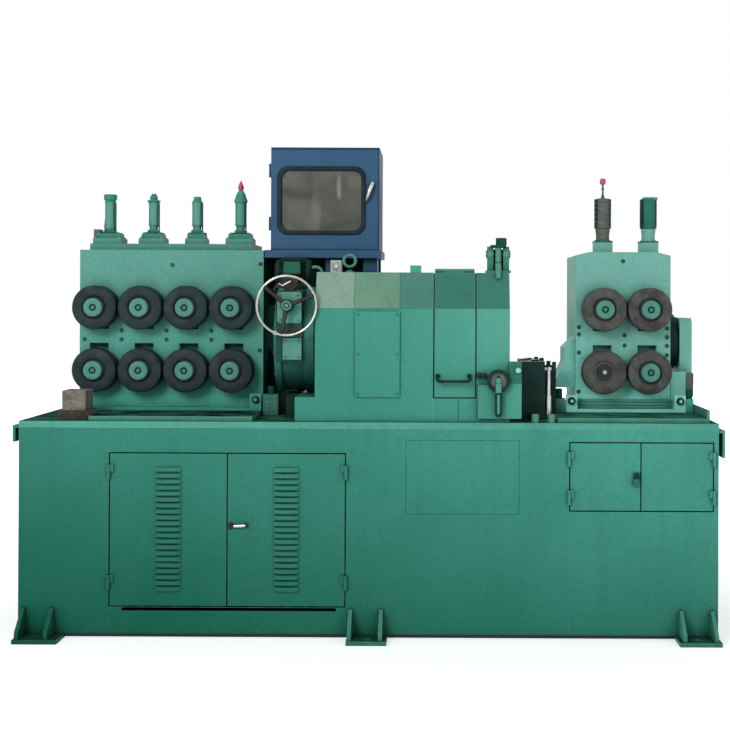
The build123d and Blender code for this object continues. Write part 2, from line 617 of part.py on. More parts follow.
def add_lug(x0):
    """Adds an upright lug with its adjusting screw to the front of a stand's flange."""
    z0 = SOLE_Z + STAND_FLANGE_T
    block((x0, x0 + LUG_W), LUG_Y, (z0, z0 + LUG_H))
    spindle(x0 + LUG_W / 2, z0 + LUG_H * LUG_SCREW_SHARE, LUG_Y[0] - BOLT_H, LUG_Y[0], BOLT_R)


with BuildPart() as left_stand_housing:
    stand_shell(LEFT_STAND_X, LEFT_STAND_X, LEFT_ROLLER_X, 0)
    add_lug(LEFT_STAND_X[1] - LUG_W)
save(left_stand_housing, "left_stand_housing")

with BuildPart() as right_stand_housing:
    stand_shell(RIGHT_STAND_X, RIGHT_FLANGE_X, RIGHT_ROLLER_X, RIGHT_CYLINDER_SHIFT)
    # The upper corners slope a little
    with BuildSketch(Plane.XZ.offset(-STAND_FRONT_Y)):
        for side, x in zip((1, -1), RIGHT_STAND_X):
            with BuildLine():
                Polyline(
                    (x, STAND_TOP_Z),
                    (x + side * STAND_CORNER[0], STAND_TOP_Z),
                    (x, STAND_TOP_Z - STAND_CORNER[1]),
                    close=True,
                )
            make_face()
    extrude(amount=-STAND_DEPTH, mode=Mode.SUBTRACT)
    # A folded guard on the side that faces the head
    with BuildSketch(Plane.XZ.offset(-(STAND_FRONT_Y + GUSSET_IN))):
        with BuildLine():
            Polyline(
                (RIGHT_STAND_X[0], GUSSET_TOP_Z),
                (RIGHT_STAND_X[0] - GUSSET_OUT[0], GUSSET_TOP_Z - GUSSET_OUT[0]),
                (RIGHT_STAND_X[0] - GUSSET_OUT[0], GUSSET_KNEE_Z),
                (RIGHT_STAND_X[0] - GUSSET_OUT[1], GUSSET_LOW_Z),
                (RIGHT_STAND_X[0], GUSSET_LOW_Z),
                close=True,
            )
        make_face()
    extrude(amount=-GUSSET_LENGTH)
    for x0 in (RIGHT_FLANGE_X[0], RIGHT_FLANGE_X[1] - LUG_W):
        add_lug(x0)
save(right_stand_housing, "right_stand_housing")


def hold_down(x0, z0, height, bolt_height):
    """Adds a hold-down block with a hexagon bolt on top."""
    block((x0, x0 + HOLD_DOWN_W), (FLANGE_Y[0], FLANGE_Y[0] + HOLD_DOWN_W), (z0, z0 + height))
    centre = (x0 + HOLD_DOWN_W / 2, FLANGE_Y[0] + HOLD_DOWN_W / 2)
    with BuildSketch(Plane.XY.offset(z0 + height)) as bolt_head:
        with Locations(centre):
            RegularPolygon(BOLT_R, 6)
    extrude(bolt_head.sketch, amount=bolt_height)


# The planed plates that the stands are bolted down on
with BuildPart() as left_stand_sole:
    block(LEFT_SOLE_X, SOLE_Y, (BED_TOP_Z, SOLE_Z))
    # Its front corner is cut back for the block where the bar comes in
    notch_x = (LEFT_SOLE_X[0], INFEED_X[1] + INFEED_BASE_OUT)
    block(notch_x, (SOLE_Y[0], INFEED_Y[1]), (BED_TOP_Z, SOLE_Z), mode=Mode.SUBTRACT)
    hold_down(LEFT_SOLE_X[1] + SOLE_STEP, BED_TOP_Z, HOLD_DOWN_H[0], HOLD_DOWN_BOLT_H[0])
save(left_stand_sole, "left_stand_sole")

with BuildPart() as right_stand_sole:
    block(RIGHT_SOLE_X, SOLE_Y, (BED_TOP_Z, SOLE_Z))
    hold_down(RIGHT_SOLE_X[0] + SOLE_STEP, SOLE_Z, HOLD_DOWN_H[1], HOLD_DOWN_BOLT_H[1])
    # A rim closes the outer end
    rim_y = (SOLE_Y[0], REAR_Y[0])
    block((RIGHT_SOLE_X[1] - WALL, RIGHT_SOLE_X[1]), rim_y, (SOLE_Z, SOLE_Z + SOLE_RIM))
save(right_stand_sole, "right_stand_sole")

with BuildPart() as left_stand_top_plate:
    plate_y = (STAND_FRONT_Y + LEFT_TOP_PLATE_SET_BACK, STAND_BACK_Y)
    block(LEFT_TOP_PLATE_X, plate_y, (STAND_TOP_Z, STAND_TOP_Z + LEFT_TOP_PLATE_T))
    with Locations([(x, CYLINDER_Y, STAND_TOP_Z + LEFT_TOP_PLATE_T) for x in LEFT_ROLLER_X]):
        Hole(ROD_R + ROD_FIT, depth=LEFT_TOP_PLATE_T)
save(left_stand_top_plate, "left_stand_top_plate")


# Bearing blocks that carry the upper rollers, each on a cylinder's rod
def add_slide_block(x, rod_shift):
    """Adds an upper bearing block with its rod."""
    half = WINDOW_W / 2 - SLIDE_FIT
    block_y = (BLOCK_FRONT_Y, BLOCK_FRONT_Y + SLIDE_DEPTH)
    block((x - half, x + half), block_y, (UPPER_Z - SLIDE_LOW, UPPER_Z + SLIDE_HIGH))
    spindle(x, UPPER_Z, BLOCK_FRONT_Y, SHAFT_END_Y, SHAFT_R + SHAFT_FIT, mode=Mode.SUBTRACT)
    post(x + rod_shift, CYLINDER_Y, UPPER_Z + SLIDE_HIGH, STAND_TOP_Z + ROD_REACH, ROD_R)


slides = (
    ("left_slide_blocks", LEFT_ROLLER_X, 0),
    ("right_slide_blocks", RIGHT_ROLLER_X, RIGHT_CYLINDER_SHIFT),
)
for name, roller_xs, rod_shift in slides:
    with BuildPart() as slide_blocks:
        for x in roller_xs:
            add_slide_block(x, rod_shift)
    save(slide_blocks, name)


def make_roller(x, z, capped):
    """Makes a roller on its shaft, with a hub cap in front, or the shaft's bare end where that is missing."""
    front = BAR_Y - ROLLER_W / 2
    back = BAR_Y + ROLLER_W / 2
    hub_r = HUB_R if capped else HUB_BOLT_R
    hub_front = front - (HUB_REACH if capped else HUB_BARE_REACH)
    with BuildPart() as roller:
        with BuildSketch(Plane((x, 0, z), x_dir=(1, 0, 0), z_dir=(0, 0, 1))) as section:
            with BuildLine():
                Polyline(
                    (0, hub_front),
                    (hub_r, hub_front),
                    (hub_r, front),
                    (ROLLER_R - ROLLER_EDGE, front),
                    (ROLLER_R, front + ROLLER_EDGE),
                    (ROLLER_R, back),
                    (SHAFT_R, back),
                    (SHAFT_R, SHAFT_END_Y - SHAFT_END_GAP),
                    (0, SHAFT_END_Y - SHAFT_END_GAP),
                    close=True,
                )
            make_face()
        revolve(section.sketch, axis=Axis((x, 0, z), (0, 1, 0)))
    return roller


rows = (
    ("left_upper_roller", LEFT_ROLLER_X, UPPER_Z),
    ("left_lower_roller", LEFT_ROLLER_X, LOWER_Z),
    ("right_upper_roller", RIGHT_ROLLER_X, UPPER_Z),
    ("right_lower_roller", RIGHT_ROLLER_X, LOWER_Z),
)
for row_name, roller_xs, roller_z in rows:
    for n, roller_x in enumerate(roller_xs, 1):
        has_cap = (row_name, n) != UNCAPPED_ROLLER
        save(make_roller(roller_x, roller_z, has_cap), f"{row_name}_{n}")

# Air cylinders
LEFT_CYLINDER_Z = STAND_TOP_Z + LEFT_TOP_PLATE_T
ROD_BORE_TOP = STAND_TOP_Z + ROD_REACH + ROD_R
LEFT_FLANGE_Z = LEFT_CYLINDER_Z + CYLINDER_BASE[1]
LEFT_NECK_Z = LEFT_FLANGE_Z + CYLINDER_FLANGE[1]
LEFT_BARREL_Z = LEFT_NECK_Z + LEFT_NECK_H
LEFT_CAP_Z = LEFT_BARREL_Z + LEFT_BARREL_H
LEFT_CAP_TOP_Z = LEFT_CAP_Z + LEFT_CAP[1]
RIGHT_NECK_Z = STAND_TOP_Z + RIGHT_BASE[1]
RIGHT_BARREL_Z = RIGHT_NECK_Z + RIGHT_NECK_H
RIGHT_CAP_Z = RIGHT_BARREL_Z + RIGHT_BARREL_H
RIGHT_CAP_TOP_Z = RIGHT_CAP_Z + RIGHT_CAP_H
RIGHT_CYLINDER_X = [x + RIGHT_CYLINDER_SHIFT for x in RIGHT_ROLLER_X]


def square_block(x, width, z0, z1):
    """Adds a square block on a cylinder's centre line."""
    block((x - width / 2, x + width / 2), (CYLINDER_Y - width / 2, CYLINDER_Y + width / 2), (z0, z1))


def gland_nut(x, z, neck_r):
    """Adds the hexagon nut at the foot of a cylinder's neck."""
    with BuildSketch(Plane.XY.offset(z)) as nut:
        with Locations((x, CYLINDER_Y)):
            RegularPolygon(neck_r * GLAND_NUT[0], 6)
    extrude(nut.sketch, amount=GLAND_NUT[1])


with BuildPart() as left_cylinders:
    for x in LEFT_ROLLER_X:
        square_block(x, CYLINDER_BASE[0], LEFT_CYLINDER_Z, LEFT_FLANGE_Z)
        square_block(x, CYLINDER_FLANGE[0], LEFT_FLANGE_Z, LEFT_NECK_Z)
        gland_nut(x, LEFT_NECK_Z, LEFT_NECK_R)
        post(x, CYLINDER_Y, LEFT_NECK_Z, LEFT_BARREL_Z, LEFT_NECK_R)
        post(x, CYLINDER_Y, LEFT_BARREL_Z, LEFT_CAP_Z, LEFT_BARREL_R)
        square_block(x, LEFT_CAP[0], LEFT_CAP_Z, LEFT_CAP_TOP_Z)
        post(x, CYLINDER_Y, LEFT_CYLINDER_Z, ROD_BORE_TOP, ROD_R + ROD_FIT, mode=Mode.SUBTRACT)
save(left_cylinders, "left_cylinders")

with BuildPart() as right_cylinders:
    for x in RIGHT_CYLINDER_X:
        square_block(x, RIGHT_BASE[0], STAND_TOP_Z, RIGHT_NECK_Z)
        gland_nut(x, RIGHT_NECK_Z, RIGHT_NECK_R)
        post(x, CYLINDER_Y, RIGHT_NECK_Z, RIGHT_BARREL_Z, RIGHT_NECK_R)
        post(x, CYLINDER_Y, RIGHT_BARREL_Z, RIGHT_CAP_Z, RIGHT_BARREL_R)
        post(x, CYLINDER_Y, RIGHT_CAP_Z, RIGHT_CAP_TOP_Z, RIGHT_CAP_R)
        post(x, CYLINDER_Y, STAND_TOP_Z, ROD_BORE_TOP, ROD_R + ROD_FIT, mode=Mode.SUBTRACT)
save(right_cylinders, "right_cylinders")

# Red caps: one on the left stand's last cylinder, one on a thin fitting of the right stand's first
with BuildPart() as fitting_caps:
    plug_x = LEFT_ROLLER_X[-1]
    plug_z = LEFT_CAP_TOP_Z + CONE_CAP_H
    with Locations((plug_x, CYLINDER_Y, LEFT_CAP_TOP_Z + CONE_CAP_H / 2)):
        Cone(LEFT_BARREL_R, PLUG_R, CONE_CAP_H)
    post(plug_x, CYLINDER_Y, plug_z, plug_z + PLUG_H, PLUG_R)
    fitting_x = RIGHT_CYLINDER_X[0]
    fitting_z = RIGHT_CAP_TOP_Z + FITTING_H
    post(fitting_x, CYLINDER_Y, RIGHT_CAP_TOP_Z, fitting_z, FITTING_R)
    post(fitting_x, CYLINDER_Y, fitting_z, fitting_z + FITTING_CAP_H, PLUG_R)
save(fitting_caps, "fitting_caps")

# A grey block where the bar comes in, on a low foot beside the stand's flange
with BuildPart() as infeed_block:
    block(INFEED_X, INFEED_Y, (BED_TOP_Z + INFEED_BASE_T, INFEED_Z))
    foot_x = (INFEED_X[0] - INFEED_BASE_OUT, INFEED_X[1] + INFEED_BASE_OUT)
    block(foot_x, INFEED_Y, (BED_TOP_Z, BED_TOP_Z + INFEED_BASE_T))
save(infeed_block, "infeed_block")

# Peeling head

HEAD_PROFILE = (
    (HEAD_FRONT_Y, BED_TOP_Z),
    (HEAD_FRONT_Y, HEAD_FACE_Z),
    (HEAD_FRONT_Y + HEAD_SLOPE_Y, HEAD_TOP_Z),
    (HEAD_BACK_Y - HEAD_SLOPE_Y, HEAD_TOP_Z),
    (HEAD_BACK_Y, HEAD_FACE_Z),
    (HEAD_BACK_Y, BED_TOP_Z),
)
DOORWAY_X = (ACCESS_X[0] - ACCESS_GAP / 2, ACCESS_X[1] + ACCESS_GAP / 2)
ACCESS_DOOR_X = (ACCESS_X[0] + ACCESS_GAP / 2, ACCESS_X[1] - ACCESS_GAP / 2)


def head_slice(x0, x1):
    """Adds a length of the head's casting with the bar's passage through it."""
    with BuildSketch(Plane.YZ.offset(x0)) as section:
        with BuildLine():
            Polyline(*HEAD_PROFILE, close=True)
        make_face()
    extrude(section.sketch, amount=x1 - x0)
    cross_bar(x0, x1, BAR_Y, BAR_Z, BAR_BORE_R, mode=Mode.SUBTRACT)


with BuildPart() as head_left_block:
    head_slice(HEAD_X[0], DOORWAY_X[0])
    foot_x = (HEAD_X[0] - HEAD_FOOT_OUT, HEAD_X[0])
    block(foot_x, (HEAD_FRONT_Y, HEAD_BACK_Y), (BED_TOP_Z, HEAD_FOOT_Z))
    lug_y = (HEAD_FRONT_Y + HEAD_SLOPE_Y, HEAD_FRONT_Y + HEAD_SLOPE_Y + LUG_T)
    block(LUG_HEAD_X, lug_y, (HEAD_TOP_Z, HEAD_TOP_Z + LUG_HEAD_H))
save(head_left_block, "head_left_block")

with BuildPart() as head_right_block:
    head_slice(DOORWAY_X[1], HEAD_X[1])
save(head_right_block, "head_right_block")

# Under, behind and over the access door
BRIDGE_FRONT_Y = ACCESS_HINGE_Y + BRIDGE_SET_BACK
with BuildPart() as head_bridge:
    with BuildSketch(Plane.YZ.offset(DOORWAY_X[0])):
        with BuildLine():
            Polyline(
                (HEAD_FRONT_Y, BED_TOP_Z),
                (HEAD_FRONT_Y, ACCESS_Z - ACCESS_GAP),
                (CHAMBER_BACK_Y, ACCESS_Z - ACCESS_GAP),
                (CHAMBER_BACK_Y, HEAD_TOP_Z - BRIDGE_T),
                (BRIDGE_FRONT_Y, HEAD_TOP_Z - BRIDGE_T),
                (BRIDGE_FRONT_Y, HEAD_TOP_Z),
                (HEAD_BACK_Y - HEAD_SLOPE_Y, HEAD_TOP_Z),
                (HEAD_BACK_Y, HEAD_FACE_Z),
                (HEAD_BACK_Y, BED_TOP_Z),
                close=True,
            )
        make_face()
    extrude(amount=DOORWAY_X[1] - DOORWAY_X[0])
    # The outer knuckles of the access door's hinge, each on a leaf
    for x0 in (ACCESS_DOOR_X[0], ACCESS_DOOR_X[1] - ACCESS_KNUCKLE):
        cross_bar(x0, x0 + ACCESS_KNUCKLE, ACCESS_HINGE_Y, ACCESS_HINGE_Z, ACCESS_HINGE_R)
        leaf_z = (HEAD_TOP_Z, HEAD_TOP_Z + ACCESS_HINGE_R)
        block((x0, x0 + ACCESS_KNUCKLE), (ACCESS_HINGE_Y, BRIDGE_FRONT_Y + WALL), leaf_z)
save(head_bridge, "head_bridge")

with BuildPart() as head_door:
    with BuildSketch(Plane.YZ.offset(ACCESS_DOOR_X[0])) as door_section:
        with BuildLine():
            Polyline(
                (HEAD_FRONT_Y, ACCESS_Z),
                (HEAD_FRONT_Y, HEAD_FACE_Z),
                (HEAD_FRONT_Y + HEAD_SLOPE_Y, HEAD_TOP_Z),
                (ACCESS_HINGE_Y + ACCESS_HINGE_R, HEAD_TOP_Z),
            )
            offset(amount=ACCESS_T, side=Side.RIGHT, kind=Kind.INTERSECTION)
        make_face()
    extrude(amount=ACCESS_DOOR_X[1] - ACCESS_DOOR_X[0])
    # The middle knuckle of its hinge
    knuckle_x = (
        ACCESS_DOOR_X[0] + ACCESS_KNUCKLE + HINGE_GAP,
        ACCESS_DOOR_X[1] - ACCESS_KNUCKLE - HINGE_GAP,
    )
    cross_bar(*knuckle_x, ACCESS_HINGE_Y, ACCESS_HINGE_Z, ACCESS_HINGE_R)
    leaf_y = (ACCESS_HINGE_Y - 2 * ACCESS_HINGE_R, ACCESS_HINGE_Y)
    block(knuckle_x, leaf_y, (HEAD_TOP_Z, HEAD_TOP_Z + ACCESS_HINGE_R))
save(head_door, "head_door")

# A bow handle low on the access door
with BuildPart() as head_door_handle:
    bar_y = HEAD_FRONT_Y - HANDLE_REACH
    with BuildLine() as bow:
        FilletPolyline(
            (HANDLE_X[0] + HANDLE_R, HEAD_FRONT_Y, HANDLE_Z[1]),
            (HANDLE_X[0] + HANDLE_R, bar_y, HANDLE_Z[0]),
            (HANDLE_X[1] - HANDLE_R, bar_y, HANDLE_Z[0]),
            (HANDLE_X[1] - HANDLE_R, HEAD_FRONT_Y, HANDLE_Z[1]),
            radius=2 * HANDLE_R,
        )
    with BuildSketch(Plane(origin=bow.line @ 0, z_dir=bow.line % 0)):
        RegularPolygon(HANDLE_R, RING_SIDES)
    sweep()
    # Its ends are cut flush with the door's face
    margin = 4 * HANDLE_R
    trim_z = (HANDLE_Z[0] - margin, HANDLE_Z[1] + margin)
    block(HANDLE_X, (HEAD_FRONT_Y, HEAD_FRONT_Y + margin), trim_z, mode=Mode.SUBTRACT)
save(head_door_handle, "head_door_handle")

with BuildPart() as head_bolted_panel:
    block(PANEL_X, (HEAD_FRONT_Y - PANEL_T, HEAD_FRONT_Y), PANEL_Z)
save(head_bolted_panel, "head_bolted_panel")

# Drum: a turned housing with a raised ring at each end, bored for the bar
with BuildPart() as head_drum:
    waist_x = (DRUM_X[0] + DRUM_RING_W[0], DRUM_X[1] - DRUM_RING_IN - DRUM_RING_W[1])
    with BuildSketch(Plane.XY.offset(BAR_Z)):
        with BuildLine():
            Polyline(
                (DRUM_X[0], BAR_Y + BAR_BORE_R),
                (DRUM_X[0], BAR_Y + DRUM_R),
                (waist_x[0], BAR_Y + DRUM_R),
                (waist_x[0], BAR_Y + DRUM_R - DRUM_WAIST),
                (waist_x[1], BAR_Y + DRUM_R - DRUM_WAIST),
                (waist_x[1], BAR_Y + DRUM_R),
                (waist_x[1] + DRUM_RING_W[1], BAR_Y + DRUM_R),
                (waist_x[1] + DRUM_RING_W[1], BAR_Y + DRUM_R - DRUM_WAIST),
                (DRUM_X[1], BAR_Y + DRUM_R - DRUM_WAIST),
                (DRUM_X[1], BAR_Y + BAR_BORE_R),
                close=True,
            )
        make_face()
    revolve(axis=Axis((0, BAR_Y, BAR_Z), (1, 0, 0)))
save(head_drum, "head_drum")

# The handwheel's gearbox sits on the front of the drum
with BuildPart() as handwheel_gearbox:
    block(GEARBOX_X, (GEARBOX_FRONT_Y, BAR_Y - WALL), GEARBOX_Z)
    cross_bar(*GEARBOX_X, BAR_Y, BAR_Z, DRUM_R + DRUM_GAP, mode=Mode.SUBTRACT)
    boss_y = (GEARBOX_FRONT_Y - WHEEL_BOSS, GEARBOX_FRONT_Y)
    spindle(WHEEL_X, WHEEL_Z, *boss_y, WHEEL_BOSS_R)
    bore_end = GEARBOX_FRONT_Y + WHEEL_BOSS
    spindle(WHEEL_X, WHEEL_Z, boss_y[0], bore_end, WHEEL_SHAFT_R + SHAFT_FIT, mode=Mode.SUBTRACT)
save(handwheel_gearbox, "handwheel_gearbox")

with BuildPart() as handwheel:
    ring(WHEEL_X, WHEEL_Y, WHEEL_Z, WHEEL_R, WHEEL_RIM_R)
    spindle(WHEEL_X, WHEEL_Z, WHEEL_Y - WHEEL_RIM_R, WHEEL_Y + WHEEL_DISH, WHEEL_HUB_R)
    spindle(WHEEL_X, WHEEL_Z, WHEEL_Y, GEARBOX_FRONT_Y + WHEEL_BOSS - SHAFT_END_GAP, WHEEL_SHAFT_R)
    for angle in SPOKE_ANGLES:
        with Locations(Location((WHEEL_X, WHEEL_Y, WHEEL_Z), (0, -angle, 0))):
            with Locations(Location(((WHEEL_R - WHEEL_RIM_R) / 2, 0, 0), (0, 90, 0))):
                Cone(*SPOKE_R, WHEEL_R - WHEEL_RIM_R)
save(handwheel, "handwheel")

# Clamps on the head's outlet end
with BuildPart() as clamp_bracket:
    bracket_y = (HEAD_FRONT_Y - BRACKET_T, HEAD_FRONT_Y)
    block(BRACKET_X, bracket_y, BRACKET_Z)
    block((HEAD_X[1], BRACKET_X[1]), bracket_y, (BRACKET_Z[1], BRACKET_Z[1] + BRACKET_TAB_RISE))
    spindle(KNOB_X, KNOB_Z, LEVER_BACK_Y + HINGE_GAP, HEAD_FRONT_Y, PIVOT_R)
save(clamp_bracket, "clamp_bracket")

with BuildPart() as clamp_lever:
    face_y = LEVER_BACK_Y - KNOB_T
    spindle(KNOB_X, KNOB_Z, face_y, LEVER_BACK_Y, KNOB_R)
    spindle(KNOB_X, KNOB_Z, face_y, face_y + KNOB_DISH, KNOB_R - KNOB_RIM, mode=Mode.SUBTRACT)
    spindle(KNOB_X, KNOB_Z, face_y, face_y + KNOB_DISH, KNOB_NUT_R)
    arm_y = (face_y, face_y + ARM_T)
    arm_end_z = KNOB_Z - ARM_REACH + ARM_W / 2
    block((KNOB_X - ARM_W / 2, KNOB_X + ARM_W / 2), arm_y, (arm_end_z, KNOB_Z - KNOB_R + KNOB_RIM))
    spindle(KNOB_X, arm_end_z, *arm_y, ARM_W / 2)
    slot_x = (KNOB_X - ARM_W / 6, KNOB_X + ARM_W / 6)
    block(slot_x, arm_y, (arm_end_z, KNOB_Z - KNOB_R - ARM_W / 2), mode=Mode.SUBTRACT)
save(clamp_lever, "clamp_lever")

# A swing bolt between two ears on the head's top, which are rounded where its pin goes through
with BuildPart() as top_swing_clamp:
    y_mid = HEAD_FRONT_Y + HEAD_SLOPE_Y + SWING_BASE[1] / 2
    base_x = (SWING_CLAMP_X - SWING_BASE[0] / 2, SWING_CLAMP_X + SWING_BASE[0] / 2)
    base_y = (y_mid - SWING_BASE[1] / 2, y_mid + SWING_BASE[1] / 2)
    ear_x = (base_x[0] + SWING_BOSS_OUT, base_x[1] - SWING_BOSS_OUT)
    slot_x = (SWING_CLAMP_X - SWING_SLOT / 2, SWING_CLAMP_X + SWING_SLOT / 2)
    pin_z = HEAD_TOP_Z + SWING_EAR_RISE
    block(base_x, base_y, (HEAD_TOP_Z, HEAD_TOP_Z + SWING_BASE[2]))
    for ear, boss in zip(zip(ear_x, slot_x), zip(base_x, slot_x)):
        block(sorted(ear), (y_mid - SWING_BOSS_R, y_mid + SWING_BOSS_R), (HEAD_TOP_Z, pin_z))
        cross_bar(*sorted(boss), y_mid, pin_z, SWING_BOSS_R)
    cross_bar(*slot_x, y_mid, pin_z, SWING_BOLT_R)
    post(SWING_CLAMP_X, y_mid, HEAD_TOP_Z + SWING_BASE[2], SWING_CLAMP_Z, SWING_BOLT_R)
    nut_z = SWING_CLAMP_Z - 2 * SWING_NUT_H
    with BuildSketch(Plane.XY.offset(nut_z)):
        with Locations((SWING_CLAMP_X, y_mid)):
            RegularPolygon(SWING_NUT_R, 6)
    extrude(amount=SWING_NUT_H)
save(top_swing_clamp, "top_swing_clamp")

with BuildPart() as lifting_eye:
    ring(EYE_X, EYE_Y, EYE_Z, EYE_R, EYE_WIRE)
    post(EYE_X, EYE_Y, HEAD_TOP_Z, EYE_Z - EYE_R + EYE_WIRE, EYE_SHANK_R)
    post(EYE_X, EYE_Y, HEAD_TOP_Z, HEAD_TOP_Z + EYE_WIRE, 2 * EYE_WIRE)
save(lifting_eye, "lifting_eye")

# A small motor on the drum, with fins between its end bells
with BuildPart() as head_motor:
    cross_bar(*MOTOR_X, BAR_Y, MOTOR_Z, MOTOR_CORE_R)
    fin_x = (MOTOR_X[0] + MOTOR_BELL[1], MOTOR_X[1] - MOTOR_BELL[1])
    cross_bar(MOTOR_X[0] + MOTOR_BELL[0], fin_x[0], BAR_Y, MOTOR_Z, MOTOR_BELL_R)
    cross_bar(fin_x[1], MOTOR_X[1] - MOTOR_BELL[0], BAR_Y, MOTOR_Z, MOTOR_BELL_R)
    for n in range(MOTOR_FINS // 2):
        with Locations(Location((sum(fin_x) / 2, BAR_Y, MOTOR_Z), (n * 360 / MOTOR_FINS, 0, 0))):
            Box(fin_x[1] - fin_x[0], MOTOR_FIN_T, 2 * MOTOR_R)
    pad_x = (MOTOR_X[0] + WALL, MOTOR_X[1] - WALL)
    block(pad_x, (BAR_Y - MOTOR_R / 2, BAR_Y + MOTOR_R / 2), (BAR_Z + DRUM_R + DRUM_GAP, MOTOR_Z))
save(head_motor, "head_motor")

# Glazed cabinet on a ledge over the drum
CASE_FRONT_Y = CABINET_Y[0] + CABINET_DOOR_T + CABINET_DOOR_GAP

with BuildPart() as cabinet_stand:
    block(LEDGE_X, (CABINET_Y[0] - WALL, CABINET_Y[1]), LEDGE_Z)
    for leg_x in LEG_X:
        block(leg_x, LEG_Y, (HEAD_TOP_Z, LEDGE_Z[0]))
save(cabinet_stand, "cabinet_stand")

with BuildPart() as cabinet_case:
    block(CABINET_X, (CASE_FRONT_Y, CABINET_Y[1]), CABINET_Z)
    hollow_x = (CABINET_X[0] + CABINET_WALL, CABINET_X[1] - CABINET_WALL)
    hollow_z = (CABINET_Z[0] + CABINET_WALL, CABINET_Z[1] - CABINET_WALL)
    block(hollow_x, (CASE_FRONT_Y, CABINET_Y[1] - CABINET_WALL), hollow_z, mode=Mode.SUBTRACT)
    # The lower knuckle of each hinge, on a leaf
    for z in CABINET_HINGE_Z:
        post(CABINET_HINGE_X, CASE_FRONT_Y, z - KNUCKLE, z, CABINET_HINGE_R)
        leaf_y = (CASE_FRONT_Y, CASE_FRONT_Y + KNUCKLE)
        block((CABINET_HINGE_X, CABINET_X[0]), leaf_y, (z - KNUCKLE, z))
save(cabinet_case, "cabinet_case")

with BuildPart() as cabinet_door:
    door_z = (CABINET_Z[0] + CABINET_DOOR_GAP, CABINET_Z[1])
    door_y = (CABINET_Y[0], CABINET_Y[0] + CABINET_DOOR_T)
    block(CABINET_X, door_y, door_z)
    with BuildSketch(Plane.XZ.offset(-CABINET_Y[0])):
        with Locations((sum(GLASS_X) / 2, sum(GLASS_Z) / 2)):
            RectangleRounded(GLASS_X[1] - GLASS_X[0], GLASS_Z[1] - GLASS_Z[0], GLASS_CORNER)
    extrude(amount=-CABINET_DOOR_T, mode=Mode.SUBTRACT)
    for z in CABINET_HINGE_Z:
        post(CABINET_HINGE_X, CASE_FRONT_Y, z + HINGE_GAP, z + KNUCKLE, CABINET_HINGE_R)
        leaf_y = (CASE_FRONT_Y - KNUCKLE / 2, CASE_FRONT_Y)
        block((CABINET_HINGE_X, CABINET_X[0]), leaf_y, (z + HINGE_GAP, z + KNUCKLE))
save(cabinet_door, "cabinet_door")

with BuildPart() as cabinet_glass:
    with BuildSketch(Plane.XZ.offset(-(CABINET_Y[0] + GLASS_T))):
        with Locations((sum(GLASS_X) / 2, sum(GLASS_Z) / 2)):
            pane_w = GLASS_X[1] - GLASS_X[0] - 2 * GLASS_FIT
            pane_h = GLASS_Z[1] - GLASS_Z[0] - 2 * GLASS_FIT
            RectangleRounded(pane_w, pane_h, GLASS_CORNER - GLASS_FIT)
    extrude(amount=-GLASS_T)
save(cabinet_glass, "cabinet_glass")

# Chute box beside the outlet, with a chrome stop rod that stands on a block of its own
with BuildPart() as outlet_box:
    block(OUTLET_X, OUTLET_Y, (BED_TOP_Z, OUTLET_TOP_Z))
    tab_y = (OUTLET_Y[0] - OUTLET_TAB, OUTLET_Y[0])
    tab_x = (OUTLET_X[0] + OUTLET_TAB_IN, OUTLET_X[0] + OUTLET_TAB_IN + OUTLET_TAB)
    block(tab_x, tab_y, (BED_TOP_Z, BED_TOP_Z + OUTLET_TAB))
    foot_x = (OUTLET_X[1], OUTLET_ROD_X + OUTLET_TAB / 2)
    block(foot_x, (OUTLET_Y[0], OUTLET_ROD_Y + OUTLET_TAB / 2), (BED_TOP_Z, BED_TOP_Z + 2 * WALL))
save(outlet_box, "outlet_box")

with BuildPart() as outlet_rod:
    post(OUTLET_ROD_X, OUTLET_ROD_Y, BED_TOP_Z + 2 * WALL, OUTLET_COLLAR_Z, OUTLET_COLLAR_R)
    post(OUTLET_ROD_X, OUTLET_ROD_Y, OUTLET_COLLAR_Z, OUTLET_ROD_TOP_Z, OUTLET_ROD_R)
save(outlet_rod, "outlet_rod")

# Drive beside the outlet stand: a tall gearbox with a box in front of it, and a flat motor on its inner side
with BuildPart() as rear_gearbox:
    gearbox_y = (REAR_Y[0] + REAR_BOX_DEPTH, REAR_Y[1])
    block(REAR_X, gearbox_y, (SOLE_Z, REAR_TOP_Z))
    chamfer(rear_gearbox.edges().filter_by(Axis.X).group_by(Axis.Z)[-1], length=2 * WALL)
    box_x = [RIGHT_SOLE_X[1] + out for out in REAR_BOX_OUT]
    block(box_x, (REAR_Y[0], gearbox_y[0]), [BED_TOP_Z + rise for rise in REAR_BOX_RISE])
    foot_x = (RIGHT_FLANGE_X[1] + HINGE_GAP, RIGHT_SOLE_X[1])
    block(foot_x, gearbox_y, (SOLE_Z, SOLE_Z + STAND_FLANGE_T))
save(rear_gearbox, "rear_gearbox")

with BuildPart() as rear_motor:
    motor_y = sum(gearbox_y) / 2
    motor_x = (RIGHT_STAND_X[1] + REAR_MOTOR_CLEAR, REAR_X[0] - REAR_MOTOR_STEP)
    cross_bar(*motor_x, motor_y, REAR_MOTOR_Z, REAR_MOTOR_R)
    cross_bar(motor_x[1], REAR_X[0], motor_y, REAR_MOTOR_Z, REAR_MOTOR_R - REAR_MOTOR_STEP)
save(rear_motor, "rear_motor")
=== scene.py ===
# %% [markdown]
# # A centerless lathe, dressed for the camera
#
# The machine peels round bar. A stand of eight driven rollers pushes the bar from the left through a drum
# and a peeling head, and a stand of four rollers draws it out on the right. Its solids come ready made and
# true to size. This lesson gives them paint, wear, fasteners and the turned and pressed detail that a solid
# leaves plain.

# %% Load the solids
import json
import math
import random

